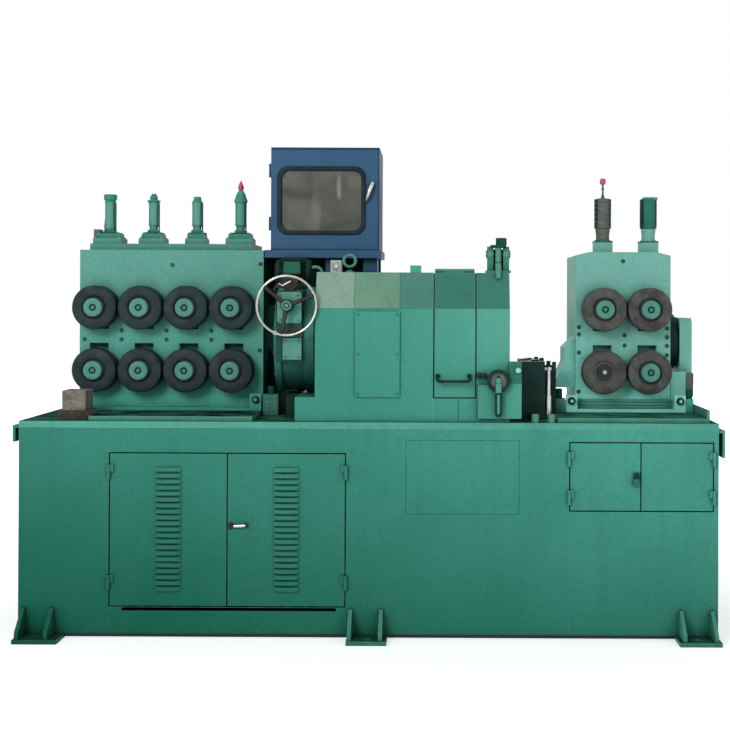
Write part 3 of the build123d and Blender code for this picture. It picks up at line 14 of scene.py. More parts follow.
import bmesh
import bpy
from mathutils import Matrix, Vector


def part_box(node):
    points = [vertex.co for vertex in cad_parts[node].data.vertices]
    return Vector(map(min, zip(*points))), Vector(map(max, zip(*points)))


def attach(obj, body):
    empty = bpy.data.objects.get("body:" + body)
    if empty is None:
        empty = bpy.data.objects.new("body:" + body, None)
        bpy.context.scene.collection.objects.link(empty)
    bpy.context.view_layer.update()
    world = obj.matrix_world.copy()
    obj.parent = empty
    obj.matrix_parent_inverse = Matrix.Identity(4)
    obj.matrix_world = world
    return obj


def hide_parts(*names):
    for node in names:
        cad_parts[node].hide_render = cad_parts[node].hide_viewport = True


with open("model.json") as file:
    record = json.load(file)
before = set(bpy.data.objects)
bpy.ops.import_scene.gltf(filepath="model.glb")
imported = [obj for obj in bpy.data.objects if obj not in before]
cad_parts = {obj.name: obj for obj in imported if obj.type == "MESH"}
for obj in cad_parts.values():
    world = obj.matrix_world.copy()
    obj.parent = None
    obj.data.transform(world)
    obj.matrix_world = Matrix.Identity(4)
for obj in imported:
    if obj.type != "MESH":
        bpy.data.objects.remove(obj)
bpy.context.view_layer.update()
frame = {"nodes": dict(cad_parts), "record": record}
random.seed(7)
MM = 0.001

# %% [markdown]
# ## Camera
#
# The photograph was taken from the operator's side, at about the height of the rollers and a little to the
# right of the middle. A long lens with a small shift keeps the machine's uprights parallel, as they are in
# the picture.

# %% Set up the camera
FRONT_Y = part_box("front_wall_rails")[0].y
CAMERA_BACK = 5.012
CAMERA_X = 0.272
CAMERA_Z = 1.307
SENSOR = 36.0
LENS = 64.1
PICTURE_SIDE = 730
SHIFT_PIXELS = (-75, -65)
CAMERA_ROLL = math.radians(-0.26)

camera = bpy.data.objects.new("camera", bpy.data.cameras.new("camera"))
bpy.context.scene.collection.objects.link(camera)
camera.data.sensor_width = SENSOR
camera.data.lens = LENS
camera.data.shift_x, camera.data.shift_y = (pixels / PICTURE_SIDE for pixels in SHIFT_PIXELS)
camera.location = (CAMERA_X, FRONT_Y - CAMERA_BACK, CAMERA_Z)
camera.rotation_euler = (math.radians(90), CAMERA_ROLL, 0)
bpy.context.scene.camera = camera
bpy.context.scene.view_settings.view_transform = "Standard"
print("camera:", [round(v, 3) for v in camera.location])

# %% [markdown]
# ## Studio
#
# One broad lamp stands in front and to the left, because the rollers' shadows fall to the right and down. A
# weak one on the right opens those shadows. The floor and the sky look white, as the picture's background
# does, and the floor still takes the machine's shadow.

# %% Light the studio


def add_lamp(name, place, target, size, power):
    """Adds an area lamp that looks at a target."""
    lamp = bpy.data.objects.new(name, bpy.data.lights.new(name, "AREA"))
    lamp.data.size = size
    lamp.data.energy = power
    lamp.location = place
    lamp.rotation_euler = (Vector(target) - Vector(place)).to_track_quat("-Z", "Y").to_euler()
    bpy.context.scene.collection.objects.link(lamp)


add_lamp("key_lamp", (-2.4, -5.4, 3.4), (0, 0, 0.9), 2.0, 165)
add_lamp("fill_lamp", (4.0, -4.6, 2.2), (0, 0, 0.9), 3.0, 50)
add_lamp("back_lamp", (0.5, 4.8, 3.8), (0, 0, 0.9), 3.0, 60)


def add_node(tree, kind, inputs=None, **settings):
    """Adds a shader node, sets its options, and sets or links its inputs."""
    made = tree.nodes.new(kind)
    for key, value in settings.items():
        setattr(made, key, value)
    for key, value in (inputs or {}).items():
        if isinstance(value, bpy.types.NodeSocket):
            tree.links.new(value, made.inputs[key])
        else:
            made.inputs[key].default_value = value
    return made


def seen_rays(tree):
    """Returns 1 for rays from the camera, a reflection or a pane, and 0 for those that light things."""
    path = add_node(tree, "ShaderNodeLightPath").outputs
    seen = add_node(
        tree, "ShaderNodeMath", {0: path["Is Camera Ray"], 1: path["Is Glossy Ray"]}, operation="MAXIMUM"
    )
    return add_node(
        tree, "ShaderNodeMath", {0: seen.outputs[0], 1: path["Is Transmission Ray"]}, operation="MAXIMUM"
    ).outputs[0]


SKY_STRENGTH = 0.43
world = bpy.data.worlds.new("studio")
world.use_nodes = True
world.node_tree.nodes.clear()
sky_tree = world.node_tree
sky_values = {"Color": (0.94, 0.97, 1.0, 1), "Strength": SKY_STRENGTH}
sky_light = add_node(sky_tree, "ShaderNodeBackground", sky_values).outputs[0]
sky_white = add_node(sky_tree, "ShaderNodeBackground", {"Color": (1, 1, 1, 1), "Strength": 1}).outputs[0]
sky = add_node(sky_tree, "ShaderNodeMixShader", {0: seen_rays(sky_tree), 1: sky_light, 2: sky_white})
add_node(sky_tree, "ShaderNodeOutputWorld", {"Surface": sky.outputs[0]})
bpy.context.scene.world = world

FLOOR_SIZE = 30
GLOW_NEAR = 1.7
GLOW_FAR = 3.2
GLOW_LEAST = 0.48
bpy.ops.mesh.primitive_plane_add(size=FLOOR_SIZE)
floor = bpy.context.object
floor.name = "studio_floor"
floor_paint = bpy.data.materials.new("studio_floor")
floor_paint.use_nodes = True
floor_tree = floor_paint.node_tree
floor_shader = floor_tree.nodes["Principled BSDF"]
floor_shader.inputs["Base Color"].default_value = (0.9, 0.9, 0.9, 1)
floor_shader.inputs["Roughness"].default_value = 0.9
floor_shader.inputs["Emission Color"].default_value = (1, 1, 1, 1)
# The floor glows a little to the camera, and fully beyond the machine, so that it reads as white
reach = add_node(floor_tree, "ShaderNodeTexCoord").outputs["Object"]
reach = add_node(floor_tree, "ShaderNodeVectorMath", {0: reach}, operation="LENGTH").outputs["Value"]
glow = add_node(
    floor_tree, "ShaderNodeMapRange",
    {"Value": reach, "From Min": GLOW_NEAR, "From Max": GLOW_FAR, "To Min": GLOW_LEAST, "To Max": 1.0},
).outputs["Result"]
glow = add_node(floor_tree, "ShaderNodeMath", {0: glow, 1: seen_rays(floor_tree)}, operation="MULTIPLY")
floor_tree.links.new(glow.outputs[0], floor_shader.inputs["Emission Strength"])
floor.data.materials.append(floor_paint)
print("studio ready")

# %% [markdown]
# ## Finishes
#
# The machine is brushed and sprayed with one green enamel, over and over. It is blotchy, it carries faint
# runs, dust and painted shade darken its corners, and bare metal and painted highlights show on some of its
# edges. Those effects recur on every painted piece, so two small node groups with named values hold them,
# and a third holds those of bare metal. Each material then has its own colours and amounts.

# %% Helpers for node groups


def colour(red, green, blue):
    """Turns a colour as seen on a screen, 0 to 255, into the linear values that shaders use."""

    def linear(value):
        value /= 255
        return value / 12.92 if value <= 0.04045 else ((value + 0.055) / 1.055) ** 2.4

    return (linear(red), linear(green), linear(blue), 1)


def mix(tree, factor, first, second, blend="MIX"):
    """Mixes two colours and returns the output socket."""
    values = {0: factor, 6: first, 7: second}
    return add_node(tree, "ShaderNodeMix", values, data_type="RGBA", blend_type=blend).outputs[2]


def maths(tree, operation, *values):
    """Adds a maths node and returns its output socket."""
    return add_node(tree, "ShaderNodeMath", dict(enumerate(values)), operation=operation).outputs[0]


def span(tree, value, low, high, to_low=0.0, to_high=1.0):
    """Maps a range of values onto another, clamped."""
    values = {"Value": value, "From Min": low, "From Max": high, "To Min": to_low, "To Max": to_high}
    return add_node(tree, "ShaderNodeMapRange", values).outputs["Result"]


def noise(tree, scale, detail=4.0, stretch=(1, 1, 1), distortion=0.0):
    """Adds noise in the object's own coordinates and returns its value."""
    place = add_node(tree, "ShaderNodeTexCoord").outputs["Object"]
    place = add_node(tree, "ShaderNodeMapping", {"Vector": place, "Scale": stretch}).outputs[0]
    values = {"Vector": place, "Scale": scale, "Detail": detail, "Distortion": distortion}
    return add_node(tree, "ShaderNodeTexNoise", values).outputs[0]


def speckled(tree, tone, factor):
    """Multiplies a colour by a factor near one."""
    grey = add_node(tree, "ShaderNodeCombineColor", {0: factor, 1: factor, 2: factor}).outputs[0]
    return mix(tree, 1.0, tone, grey, "MULTIPLY")


def new_group(name, inputs, outputs):
    """Starts a shader node group with named sockets. Returns its tree, its inputs and its output node."""
    tree = bpy.data.node_groups.new(name, "ShaderNodeTree")
    kinds = {"c": "NodeSocketColor", "f": "NodeSocketFloat", "v": "NodeSocketVector"}
    for socket_name, kind, start in inputs:
        socket = tree.interface.new_socket(name=socket_name, in_out="INPUT", socket_type=kinds[kind])
        socket.default_value = start
    for socket_name, kind in outputs:
        tree.interface.new_socket(name=socket_name, in_out="OUTPUT", socket_type=kinds[kind])
    return tree, tree.nodes.new("NodeGroupInput").outputs, tree.nodes.new("NodeGroupOutput")


def use_group(tree, group, **inputs):
    """Places a node group in a material."""
    made = tree.nodes.new("ShaderNodeGroup")
    made.node_tree = group
    for key, value in inputs.items():
        key = key.replace("_", " ")
        if isinstance(value, bpy.types.NodeSocket):
            tree.links.new(value, made.inputs[key])
        else:
            made.inputs[key].default_value = value
    return made.outputs

# %% [markdown]
# ### Enamel tone
#
# Sprayed enamel on a large machine is never one colour. Broad clouds come from thick and thin coats, and
# faint runs hang down the walls. One group mixes two paint colours by clouds and runs, and shades them by
# height, along a line that may be tilted. That shading is partly oil and partly painted light and shade: on
# the bed it darkens the bottom and the left with oil and painted shade, on the head and the feet it darkens
# the bottom and the left, on the drum it darkens the bottom as painted shade, and on the stands it pales the
# lower parts as painted light.

# %% Build the enamel tone group
HEIGHT_TONE_POWER = 1.35
tone_tree, tone_in, tone_out = new_group(
    "enamel_tone",
    [
        ("Paint", "c", (0.1, 0.3, 0.23, 1)), ("Shade", "c", (0.05, 0.2, 0.15, 1)),
        ("Low", "c", (0.03, 0.13, 0.1, 1)), ("Clouds", "f", 0.5), ("Runs", "f", 0.3),
        ("Low Z", "f", -1.0), ("High Z", "f", 0.0), ("Tilt", "f", 0.0),
    ],
    [("Color", "c"), ("Roughness", "f"), ("Height", "f")],
)
clouds = span(tone_tree, noise(tone_tree, 2.6, 5, distortion=0.4), 0.32, 0.68)
clouds = maths(tone_tree, "MULTIPLY", clouds, tone_in["Clouds"])
tone = mix(tone_tree, clouds, tone_in["Paint"], tone_in["Shade"])
place = add_node(tone_tree, "ShaderNodeTexCoord").outputs["Object"]
place = add_node(tone_tree, "ShaderNodeSeparateXYZ", {0: place}).outputs
# Height along a tilted line sets how much Low colour shows: partly oil, partly painted light and shade
height = maths(tone_tree, "MULTIPLY_ADD", place["X"], tone_in["Tilt"], place["Z"])
drift = maths(tone_tree, "MULTIPLY", maths(tone_tree, "SUBTRACT", noise(tone_tree, 1.7, 3), 0.5), 0.5)
height = maths(tone_tree, "ADD", height, drift)
share = maths(tone_tree, "POWER", span(tone_tree, height, tone_in["Low Z"], tone_in["High Z"]), HEIGHT_TONE_POWER)
tone = mix(tone_tree, share, tone_in["Low"], tone)
runs = span(tone_tree, noise(tone_tree, 1.0, 6, stretch=(30, 30, 1.6)), 0.5, 0.75)
runs = maths(tone_tree, "MULTIPLY", runs, tone_in["Runs"])
tone = mix(tone_tree, runs, tone, mix(tone_tree, 0.6, tone, (0.01, 0.05, 0.04, 1)))
tone = speckled(tone_tree, tone, span(tone_tree, noise(tone_tree, 90, 3), 0.3, 0.7, 0.93, 1.07))
tone_tree.links.new(tone, tone_out.inputs["Color"])
gloss = span(tone_tree, noise(tone_tree, 5, 4), 0.3, 0.7, 0.42, 0.62)
tone_tree.links.new(gloss, tone_out.inputs["Roughness"])
peel = maths(tone_tree, "MULTIPLY", noise(tone_tree, 120, 2), 0.25)
peel = maths(tone_tree, "ADD", peel, noise(tone_tree, 9, 3))
tone_tree.links.new(peel, tone_out.inputs["Height"])
print("group:", tone_tree.name)

# %% [markdown]
# ### Worn and highlighted edges, dusty and shaded corners
#
# Paint chips first along outer edges, and the bare metal there is also made light as a painted highlight.
# Dirt collects in inner corners, and their darkening is also painted shade. A Bevel node bends the normal
# near every edge, so the angle between it and the true normal marks the edges. Ambient Occlusion marks the
# corners. Its value also tells an outer edge, which is open all round, from an inner one.

# %% Build the edges group
edge_tree, edge_in, edge_out = new_group(
    "edges",
    [("Width", "f", 0.004), ("Reach", "f", 0.05), ("Wear", "f", 0.5), ("Grime", "f", 0.5),
     ("Settle", "f", 0.0)],
    [("Worn and Highlighted", "f"), ("Corner Dust and Shade", "f"), ("Settled", "f")],
)
rounded = add_node(edge_tree, "ShaderNodeBevel", {"Radius": edge_in["Width"]}, samples=4)
flat = add_node(edge_tree, "ShaderNodeNewGeometry").outputs["Normal"]
turn = add_node(edge_tree, "ShaderNodeVectorMath", {0: rounded.outputs[0], 1: flat}, operation="DOT_PRODUCT")
turn = span(edge_tree, turn.outputs["Value"], 0.995, 0.85)
open_sky = add_node(edge_tree, "ShaderNodeAmbientOcclusion", {"Distance": edge_in["Reach"]}, samples=6)
openness = open_sky.outputs["AO"]
outer = span(edge_tree, openness, 0.55, 0.8)
edge_breakup = span(edge_tree, noise(edge_tree, 38, 4), 0.46, 0.6)
# Outer edges take a light bare-metal colour: partly wear, partly painted highlight
worn = maths(edge_tree, "MULTIPLY", maths(edge_tree, "MULTIPLY", turn, outer), edge_breakup)
edge_tree.links.new(maths(edge_tree, "MULTIPLY", worn, edge_in["Wear"]), edge_out.inputs["Worn and Highlighted"])
# Inner corners are darkened by dust and by painted shade
corner_dust_and_shade = span(edge_tree, openness, 0.9, 0.35)
corner_dust_and_shade = maths(edge_tree, "MULTIPLY", corner_dust_and_shade, span(edge_tree, noise(edge_tree, 11, 4), 0.25, 0.6, 0.6, 1.0))
edge_tree.links.new(maths(edge_tree, "MULTIPLY", corner_dust_and_shade, edge_in["Grime"]), edge_out.inputs["Corner Dust and Shade"])
# Oil and dust settle on what faces up, and that darkening is also painted shade
upward = add_node(edge_tree, "ShaderNodeSeparateXYZ", {0: flat}).outputs["Z"]
settled_dust_and_shade = maths(edge_tree, "MULTIPLY", span(edge_tree, upward, 0.75, 0.95), edge_in["Settle"])
patchy = span(edge_tree, noise(edge_tree, 7, 5, distortion=0.5), 0.35, 0.6, 0.6, 1.0)
edge_tree.links.new(maths(edge_tree, "MULTIPLY", settled_dust_and_shade, patchy), edge_out.inputs["Settled"])
print("group:", edge_tree.name)

# %% [markdown]
# ### Turned metal
#
# Rollers, rods and the handwheel's rim were turned on a lathe, and then worn by the bar. Fine grain, rust
# stains and smooth patches make one group for all of them.

# %% Build the bare metal group
metal_tree, metal_in, metal_out = new_group(
    "bare_metal",
    [("Steel", "c", (0.3, 0.3, 0.3, 1)), ("Stain", "c", (0.1, 0.06, 0.04, 1)), ("Stains", "f", 0.5),
     ("Grain", "f", 300.0), ("Smooth", "f", 0.35), ("Rough", "f", 0.6)],
    [("Color", "c"), ("Roughness", "f"), ("Height", "f")],
)
stains = span(metal_tree, noise(metal_tree, 16, 6, distortion=0.8), 0.42, 0.62)
stains = maths(metal_tree, "MULTIPLY", stains, metal_in["Stains"])
bare = mix(metal_tree, stains, metal_in["Steel"], metal_in["Stain"])
grain = noise(metal_tree, metal_in["Grain"], 2.0)
bare = speckled(metal_tree, bare, span(metal_tree, grain, 0.3, 0.7, 0.8, 1.2))
metal_tree.links.new(bare, metal_out.inputs["Color"])
rough = span(metal_tree, noise(metal_tree, 22, 4), 0.35, 0.65)
rough = add_node(metal_tree, "ShaderNodeMix", {0: rough, 2: metal_in["Smooth"], 3: metal_in["Rough"]})
metal_tree.links.new(rough.outputs[0], metal_out.inputs["Roughness"])
metal_tree.links.new(grain, metal_out.inputs["Height"])
print("group:", metal_tree.name)

# %% [markdown]
# ## The paints and metals
#
# Every enamel shares one recipe, so it is one function with the colours and the amount of wear and edge
# highlight as its values. The same green is much paler on the stands than low on the bed, partly with oil on
# the bed and partly as painted light and shade.
# The colours below are those read off each part, from 0 to 255. FINISHES keeps each by name.

# %% Recipes for enamel and metal
EDGE_WEAR_AND_HIGHLIGHT = (150, 160, 150)
DUST_AND_SHADE = (14, 44, 36)
IRON_DUST_AND_SHADE = (20, 22, 20)
EDGE_WIDTH = 0.003
ENAMEL_REACH = 0.05
METAL_REACH = 0.03
ENAMEL_SHINE = 0.13
METAL_SHINE = 0.2
FINISHES = {}


def start_finish(name):
    """Starts a material, keeps it under its name, and returns its node tree and its Principled shader."""
    FINISHES[name] = bpy.data.materials.new(name)
    FINISHES[name].use_nodes = True
    tree = FINISHES[name].node_tree
    return tree, tree.nodes["Principled BSDF"]


def link_surface(tree, shader, skin, roughness, shine, height, strength, distance):
    """Links a finish's colour, roughness and fine height to its shader."""
    bump = add_node(tree, "ShaderNodeBump", {"Height": height, "Strength": strength, "Distance": distance})
    for socket, made in (("Base Color", skin), ("Roughness", roughness), ("Normal", bump.outputs[0])):
        tree.links.new(made, shader.inputs[socket])
    shader.inputs["Specular IOR Level"].default_value = shine


def enamel(name, paint, shade, low=None, low_z=-4.0, high_z=-3.0, tilt=0.0, clouds=0.6, runs=0.25, wear_and_highlight=0.35,
           corner_dust_shade=0.75, dust_and_shade_colour=DUST_AND_SHADE, edge_colour=EDGE_WEAR_AND_HIGHLIGHT, settle_and_shade=0.0, shine=ENAMEL_SHINE):
    """Makes a sprayed enamel."""
    tree, shader = start_finish(name)
    tone = use_group(
        tree, tone_tree, Paint=colour(*paint), Shade=colour(*shade), Low=colour(*(low or shade)),
        Clouds=clouds, Runs=runs, Low_Z=low_z, High_Z=high_z, Tilt=tilt,
    )
    edges = use_group(tree, edge_tree, Width=EDGE_WIDTH, Reach=ENAMEL_REACH, Wear=wear_and_highlight, Grime=corner_dust_shade,
                      Settle=settle_and_shade)
    # Up-facing faces take settled dust and painted shade, corners dust and painted shade, edges wear and
    # painted highlights
    skin = mix(tree, edges["Settled"], tone["Color"], colour(*dust_and_shade_colour))
    skin = mix(tree, edges["Corner Dust and Shade"], skin, colour(*dust_and_shade_colour))
    skin = mix(tree, edges["Worn and Highlighted"], skin, colour(*edge_colour))
    link_surface(tree, shader, skin, tone["Roughness"], shine, tone["Height"], 0.25, 0.002)


def metal(name, steel, stain, stains=0.5, grain=300.0, smooth=0.35, rough=0.6, metallic=0.8, bump=0.2,
          corner_dust_shade=0.6):
    """Makes a bare or darkened metal."""
    tree, shader = start_finish(name)
    worked = use_group(
        tree, metal_tree, Steel=colour(*steel), Stain=colour(*stain), Stains=stains, Grain=grain,
        Smooth=smooth, Rough=rough,
    )
    edges = use_group(tree, edge_tree, Width=EDGE_WIDTH, Reach=METAL_REACH, Wear=0.0, Grime=corner_dust_shade)
    # Corners take iron dust and painted shade
    skin = mix(tree, edges["Corner Dust and Shade"], worked["Color"], colour(*IRON_DUST_AND_SHADE))
    shader.inputs["Metallic"].default_value = metallic
    link_surface(tree, shader, skin, worked["Roughness"], METAL_SHINE, worked["Height"], bump, 0.001)


# %% Make the enamels
# The bed darkens towards the bottom and the left, partly with oil and partly as painted shade
enamel("bed_green", (76, 160, 143), (64, 147, 129), (8, 93, 72), low_z=-0.35, high_z=1.1, tilt=0.28,
       runs=0.15, settle_and_shade=0.5)
enamel("sole_green", (96, 164, 146), (80, 148, 130), clouds=0.7, wear_and_highlight=0.5, settle_and_shade=1.0, shine=0.0)
enamel("right_sole_green", (94, 166, 146), (78, 148, 128), clouds=0.7, wear_and_highlight=0.5, settle_and_shade=0.8, shine=0.0)
# The drum's body darkens towards its bottom: painted shade, as on a drum lit from above
enamel("drum_body_green", (78, 154, 134), (62, 136, 117), (12, 58, 47), low_z=0.94, high_z=1.26)
enamel("bed_green_dark", (48, 118, 102), (36, 102, 86), clouds=0.7)
# The stands' lower parts are painted paler than their tops: painted light that offsets the rollers' shadows
enamel("stand_green", (96, 162, 147), (84, 150, 134), (78, 172, 150), low_z=0.84, high_z=1.3, runs=0.1)
enamel("right_stand_green", (123, 186, 172), (109, 174, 159), (148, 236, 218), low_z=0.84, high_z=1.16,
       runs=0.1, corner_dust_shade=0.5)
# The head darkens towards the bottom and the left
enamel("head_green", (88, 166, 148), (74, 152, 133), (58, 140, 122), low_z=0.8, high_z=1.75, tilt=1.0,
       runs=0.12)
# slope_green is painted shade on the head's slopes, and the paint of the swing clamp and a hold-down
enamel("slope_green", (64, 128, 110), (52, 114, 97), clouds=0.8, runs=0.2)
enamel("top_green", (90, 168, 150), (78, 154, 136), wear_and_highlight=0.5, dust_and_shade_colour=(34, 66, 56), settle_and_shade=1.0,
       shine=0.0)
# The feet darken towards the bottom and the left
enamel("foot_green", (72, 142, 122), (58, 126, 106), (22, 88, 70), low_z=-1.2, high_z=0.2, tilt=1.0,
       clouds=0.7, wear_and_highlight=0.6, settle_and_shade=0.9)
enamel("gear_green", (30, 82, 69), (20, 62, 53), clouds=0.9)
# side_green is painted shade on the left stand's side and in the caps' holes, and the paint of dark nuts and
# parts
enamel("side_green", (36, 88, 75), (24, 68, 58), clouds=0.8, shine=0.0)
# A dark green for plates that fill the spaces behind the drum and the motor: painted shade
enamel("painted_shade_green", (44, 70, 60), (28, 46, 40), clouds=0.9, shine=0.0)
enamel("drum_green", (44, 112, 94), (30, 90, 74), clouds=0.8)
enamel("dark_green", (16, 50, 44), (9, 36, 31), clouds=0.8)
enamel("hub_green", (88, 148, 131), (74, 132, 115), clouds=0.5, wear_and_highlight=0.25)
# pale_green is painted light: the rear gearbox stands in the right stand's shade, so its paint is made paler
enamel("pale_green", (150, 224, 208), (136, 208, 192))
enamel("cabinet_blue", (56, 93, 125), (46, 81, 112), clouds=0.7, dust_and_shade_colour=(16, 34, 52),
       edge_colour=(150, 165, 180), wear_and_highlight=0.2)
enamel("cabinet_blue_dark", (30, 58, 90), (24, 48, 78), dust_and_shade_colour=(10, 20, 34),
       edge_colour=(110, 130, 150), wear_and_highlight=0.2)
print("enamels:", len(FINISHES))

# %% Make the metals
metal("roller_dark", (36, 52, 54), (28, 35, 36), 0.6, 260, 0.5, 0.75, 0.15, 0.35)
metal("roller_brown", (84, 84, 80), (52, 54, 52), 0.8, 240, 0.5, 0.75, 0.15, 0.4)
metal("rim_silver", (182, 182, 174), (128, 124, 114), 0.45, 300, 0.18, 0.35, 0.85, 0.05, 0.2)
metal("spoke_brown", (58, 52, 48), (36, 32, 30), 0.7, 200, 0.4, 0.6, 0.4, 0.2)
metal("chrome", (196, 196, 196), (120, 104, 98), 0.35, 300, 0.12, 0.3, 0.9, 0.03, 0.2)
metal("bright_bolt", (180, 190, 182), (110, 120, 112), 0.5, 300, 0.3, 0.5, 0.7, 0.1)
metal("black_bolt", (34, 44, 40), (22, 28, 26), 0.5, 300, 0.35, 0.6, 0.4, 0.1)
metal("slide_steel", (60, 84, 74), (34, 50, 44), 0.7, 200, 0.4, 0.65, 0.5, 0.2)
metal("cast_grey", (124, 122, 112), (92, 82, 72), 0.8, 70, 0.6, 0.85, 0.1, 0.6)
metal("cast_dark", (78, 74, 64), (52, 46, 40), 0.8, 70, 0.7, 0.9, 0.1, 0.6)
metal("brown_grey", (106, 104, 98), (66, 92, 82), 0.7, 120, 0.45, 0.7, 0.25, 0.2)
print("enamels and metals:", len(FINISHES))

# %% [markdown]
# ### Glass and plastic
#
# The cabinet's pane is smoked and dusty, with a pale streak painted into it as the reflection of a lamp. The
# caps are red plastic. The gasket is black rubber.

# %% Make the glass, plastic and rubber


def plain_finish(name, base, second, scale, roughness, bump=0.1, shine=0.5):
    """Makes a plastic or rubber whose colour and gloss vary a little."""
    tree, shader = start_finish(name)
    skin = mix(tree, span(tree, noise(tree, scale, 4), 0.3, 0.7), colour(*base), colour(*second))
    gloss = span(tree, noise(tree, scale * 2, 3), 0.3, 0.7, roughness - 0.08, roughness + 0.1)
    link_surface(tree, shader, skin, gloss, shine, noise(tree, scale * 8, 2), bump, 0.001)


plain_finish("gasket_rubber", (26, 38, 42), (42, 54, 56), 30, 0.6, shine=0.1)
plain_finish("cap_red", (206, 74, 90), (176, 44, 62), 60, 0.35, 0.2)
# socket_black is painted shade in sockets, slots, hollows and gaps, and the colour of black pipes and seams
plain_finish("socket_black", (18, 30, 27), (10, 18, 16), 40, 0.7)
plain_finish("box_white", (206, 204, 198), (140, 134, 124), 60, 0.6)

# A painted reflection, a pale lamp streak, runs down the right half of the pane
REFLECTION_X = -0.147
REFLECTION_Z = 1.77
glass_tree, glass_shader = start_finish("smoked_glass")
dust = span(glass_tree, noise(glass_tree, 9, 5, distortion=0.5), 0.35, 0.7)
smoke = mix(glass_tree, dust, colour(60, 65, 60), colour(88, 88, 80))
smudges = span(glass_tree, noise(glass_tree, 4, 4, stretch=(3, 3, 0.7)), 0.55, 0.75)
smoke = mix(glass_tree, smudges, smoke, colour(104, 104, 96))
pane = add_node(glass_tree, "ShaderNodeTexCoord").outputs["Object"]
pane = add_node(glass_tree, "ShaderNodeSeparateXYZ", {0: pane}).outputs
across = maths(glass_tree, "ABSOLUTE", maths(glass_tree, "SUBTRACT", pane["X"], REFLECTION_X))
along = maths(glass_tree, "ABSOLUTE", maths(glass_tree, "SUBTRACT", pane["Z"], REFLECTION_Z))
across = span(glass_tree, across, 0.012, 0.003)
painted_reflection = maths(glass_tree, "MULTIPLY", across, span(glass_tree, along, 0.055, 0.025))
painted_reflection = maths(glass_tree, "MULTIPLY", painted_reflection, span(glass_tree, noise(glass_tree, 40, 3), 0.3, 0.7, 0.4, 1.0))
smoke = mix(glass_tree, painted_reflection, smoke, colour(146, 152, 146))
glass_tree.links.new(smoke, glass_shader.inputs["Base Color"])
glass_tree.links.new(span(glass_tree, dust, 0, 1, 0.12, 0.3), glass_shader.inputs["Roughness"])
glass_shader.inputs["Alpha"].default_value = 0.9
glass_shader.inputs["IOR"].default_value = 1.5
print("finishes:", len(FINISHES))

# %% [markdown]
# ## Dressing the solids
#
# Most solids already have the right shape, so they only take a finish. The table below says which finish
# each one takes. The pieces made further on replace the solids that need turned, pressed or rounded detail.

# %% Paint the solids
rollers = [name for name in frame["nodes"] if "_roller_" in name]
FINISH_OF = {
    "bed_green": [
        "bed_floor", "bed_back_wall", "bed_end_plates", "front_wall_panels", "front_wall_rails",
        "bed_bulkheads", "hatch_door_left", "hatch_door_right", "louver_door_left", "louver_door_right",
    ],
    "top_green": ["bed_top"],
    "foot_green": ["foot_brackets"],
    "sole_green": ["left_stand_sole"],
    "right_sole_green": ["right_stand_sole"],
    "stand_green": ["left_stand_housing", "left_stand_top_plate", "left_cylinders"],
    "right_stand_green": ["right_stand_housing", "right_cylinders"],
    "head_green": [
        "head_left_block", "head_right_block", "head_bridge", "head_door", "head_bolted_panel",
        "clamp_bracket", "lifting_eye",
    ],
    "pale_green": ["rear_gearbox"],
    "drum_body_green": ["head_drum"],
    "gear_green": ["handwheel_gearbox"],
    # The outlet box sits in the shade between the head and the right stand; its dark green is partly painted
    # shade
    "dark_green": ["head_motor", "outlet_box", "head_door_handle", "clamp_lever", "top_swing_clamp",
                   "rear_motor"],
    "cabinet_blue": ["cabinet_case", "cabinet_door", "cabinet_stand"],
    "chrome": ["outlet_rod"],
    "rim_silver": ["handwheel"],
    "cast_grey": ["infeed_block"],
    "slide_steel": ["left_slide_blocks", "right_slide_blocks"],
    "smoked_glass": ["cabinet_glass"],
    "cap_red": ["fitting_caps"],
    "roller_dark": [name for name in rollers if name.startswith("left")],
    "roller_brown": [name for name in rollers if name.startswith("right")],
}
for finish, names in FINISH_OF.items():
    for name in names:
        worn = frame["nodes"][name].data.materials
        worn.clear()
        worn.append(FINISHES[finish])
print("dressed:", sum(len(names) for names in FINISH_OF.values()))

# %% [markdown]
# ## Helpers for the modelled pieces
#
# Nearly everything bolted to this machine is either turned on a lathe or cut from bar, so two small tools do
# most of the work: one revolves a profile round an axis, the other adds a block. A third turns a finished
# mesh into a piece that rides on a body. Each piece keeps its place in its mesh, as the solids do, so that
# the clouds in the paint run on from one piece to the next.

# %% Turn, block and finish
AXES = {
    "X": lambda along, a, b: Vector((along, a, b)),
    "Y": lambda along, a, b: Vector((a, along, b)),
    "Z": lambda along, a, b: Vector((a, b, along)),
}
BEVEL_FROM = math.radians(40)


def turned(mesh, profile, centre, axis="Y", segments=40, material=0, start=0.0):
    """Revolves a profile of (radius, distance along the axis) in millimetres round a centre."""
    rings = []
    for radius, along in profile:
        count = segments if radius > 0 else 1
        ring = []
        for n in range(count):
            angle = start + math.tau * n / segments
            step = AXES[axis](along, radius * math.cos(angle), radius * math.sin(angle))
            ring.append(mesh.verts.new(Vector(centre) + step * MM))
        rings.append(ring)
    for first, second in zip(rings, rings[1:]):
        for n in range(segments):
            corners = [first[n % len(first)], first[(n + 1) % len(first)]]
            corners += [second[(n + 1) % len(second)], second[n % len(second)]]
            unique = list(dict.fromkeys(corners))
            if len(unique) > 2:
                mesh.faces.new(unique).material_index = material


def block(mesh, low, high, material=0):
    """Adds a block between two corners in metres."""
    low, high = Vector(low), Vector(high)
    made = bmesh.ops.create_cube(mesh, size=1.0)["verts"]
    bmesh.ops.scale(mesh, vec=high - low, verts=made)
    bmesh.ops.translate(mesh, vec=(low + high) / 2, verts=made)
    for face in {face for vert in made for face in vert.link_faces}:
        face.material_index = material


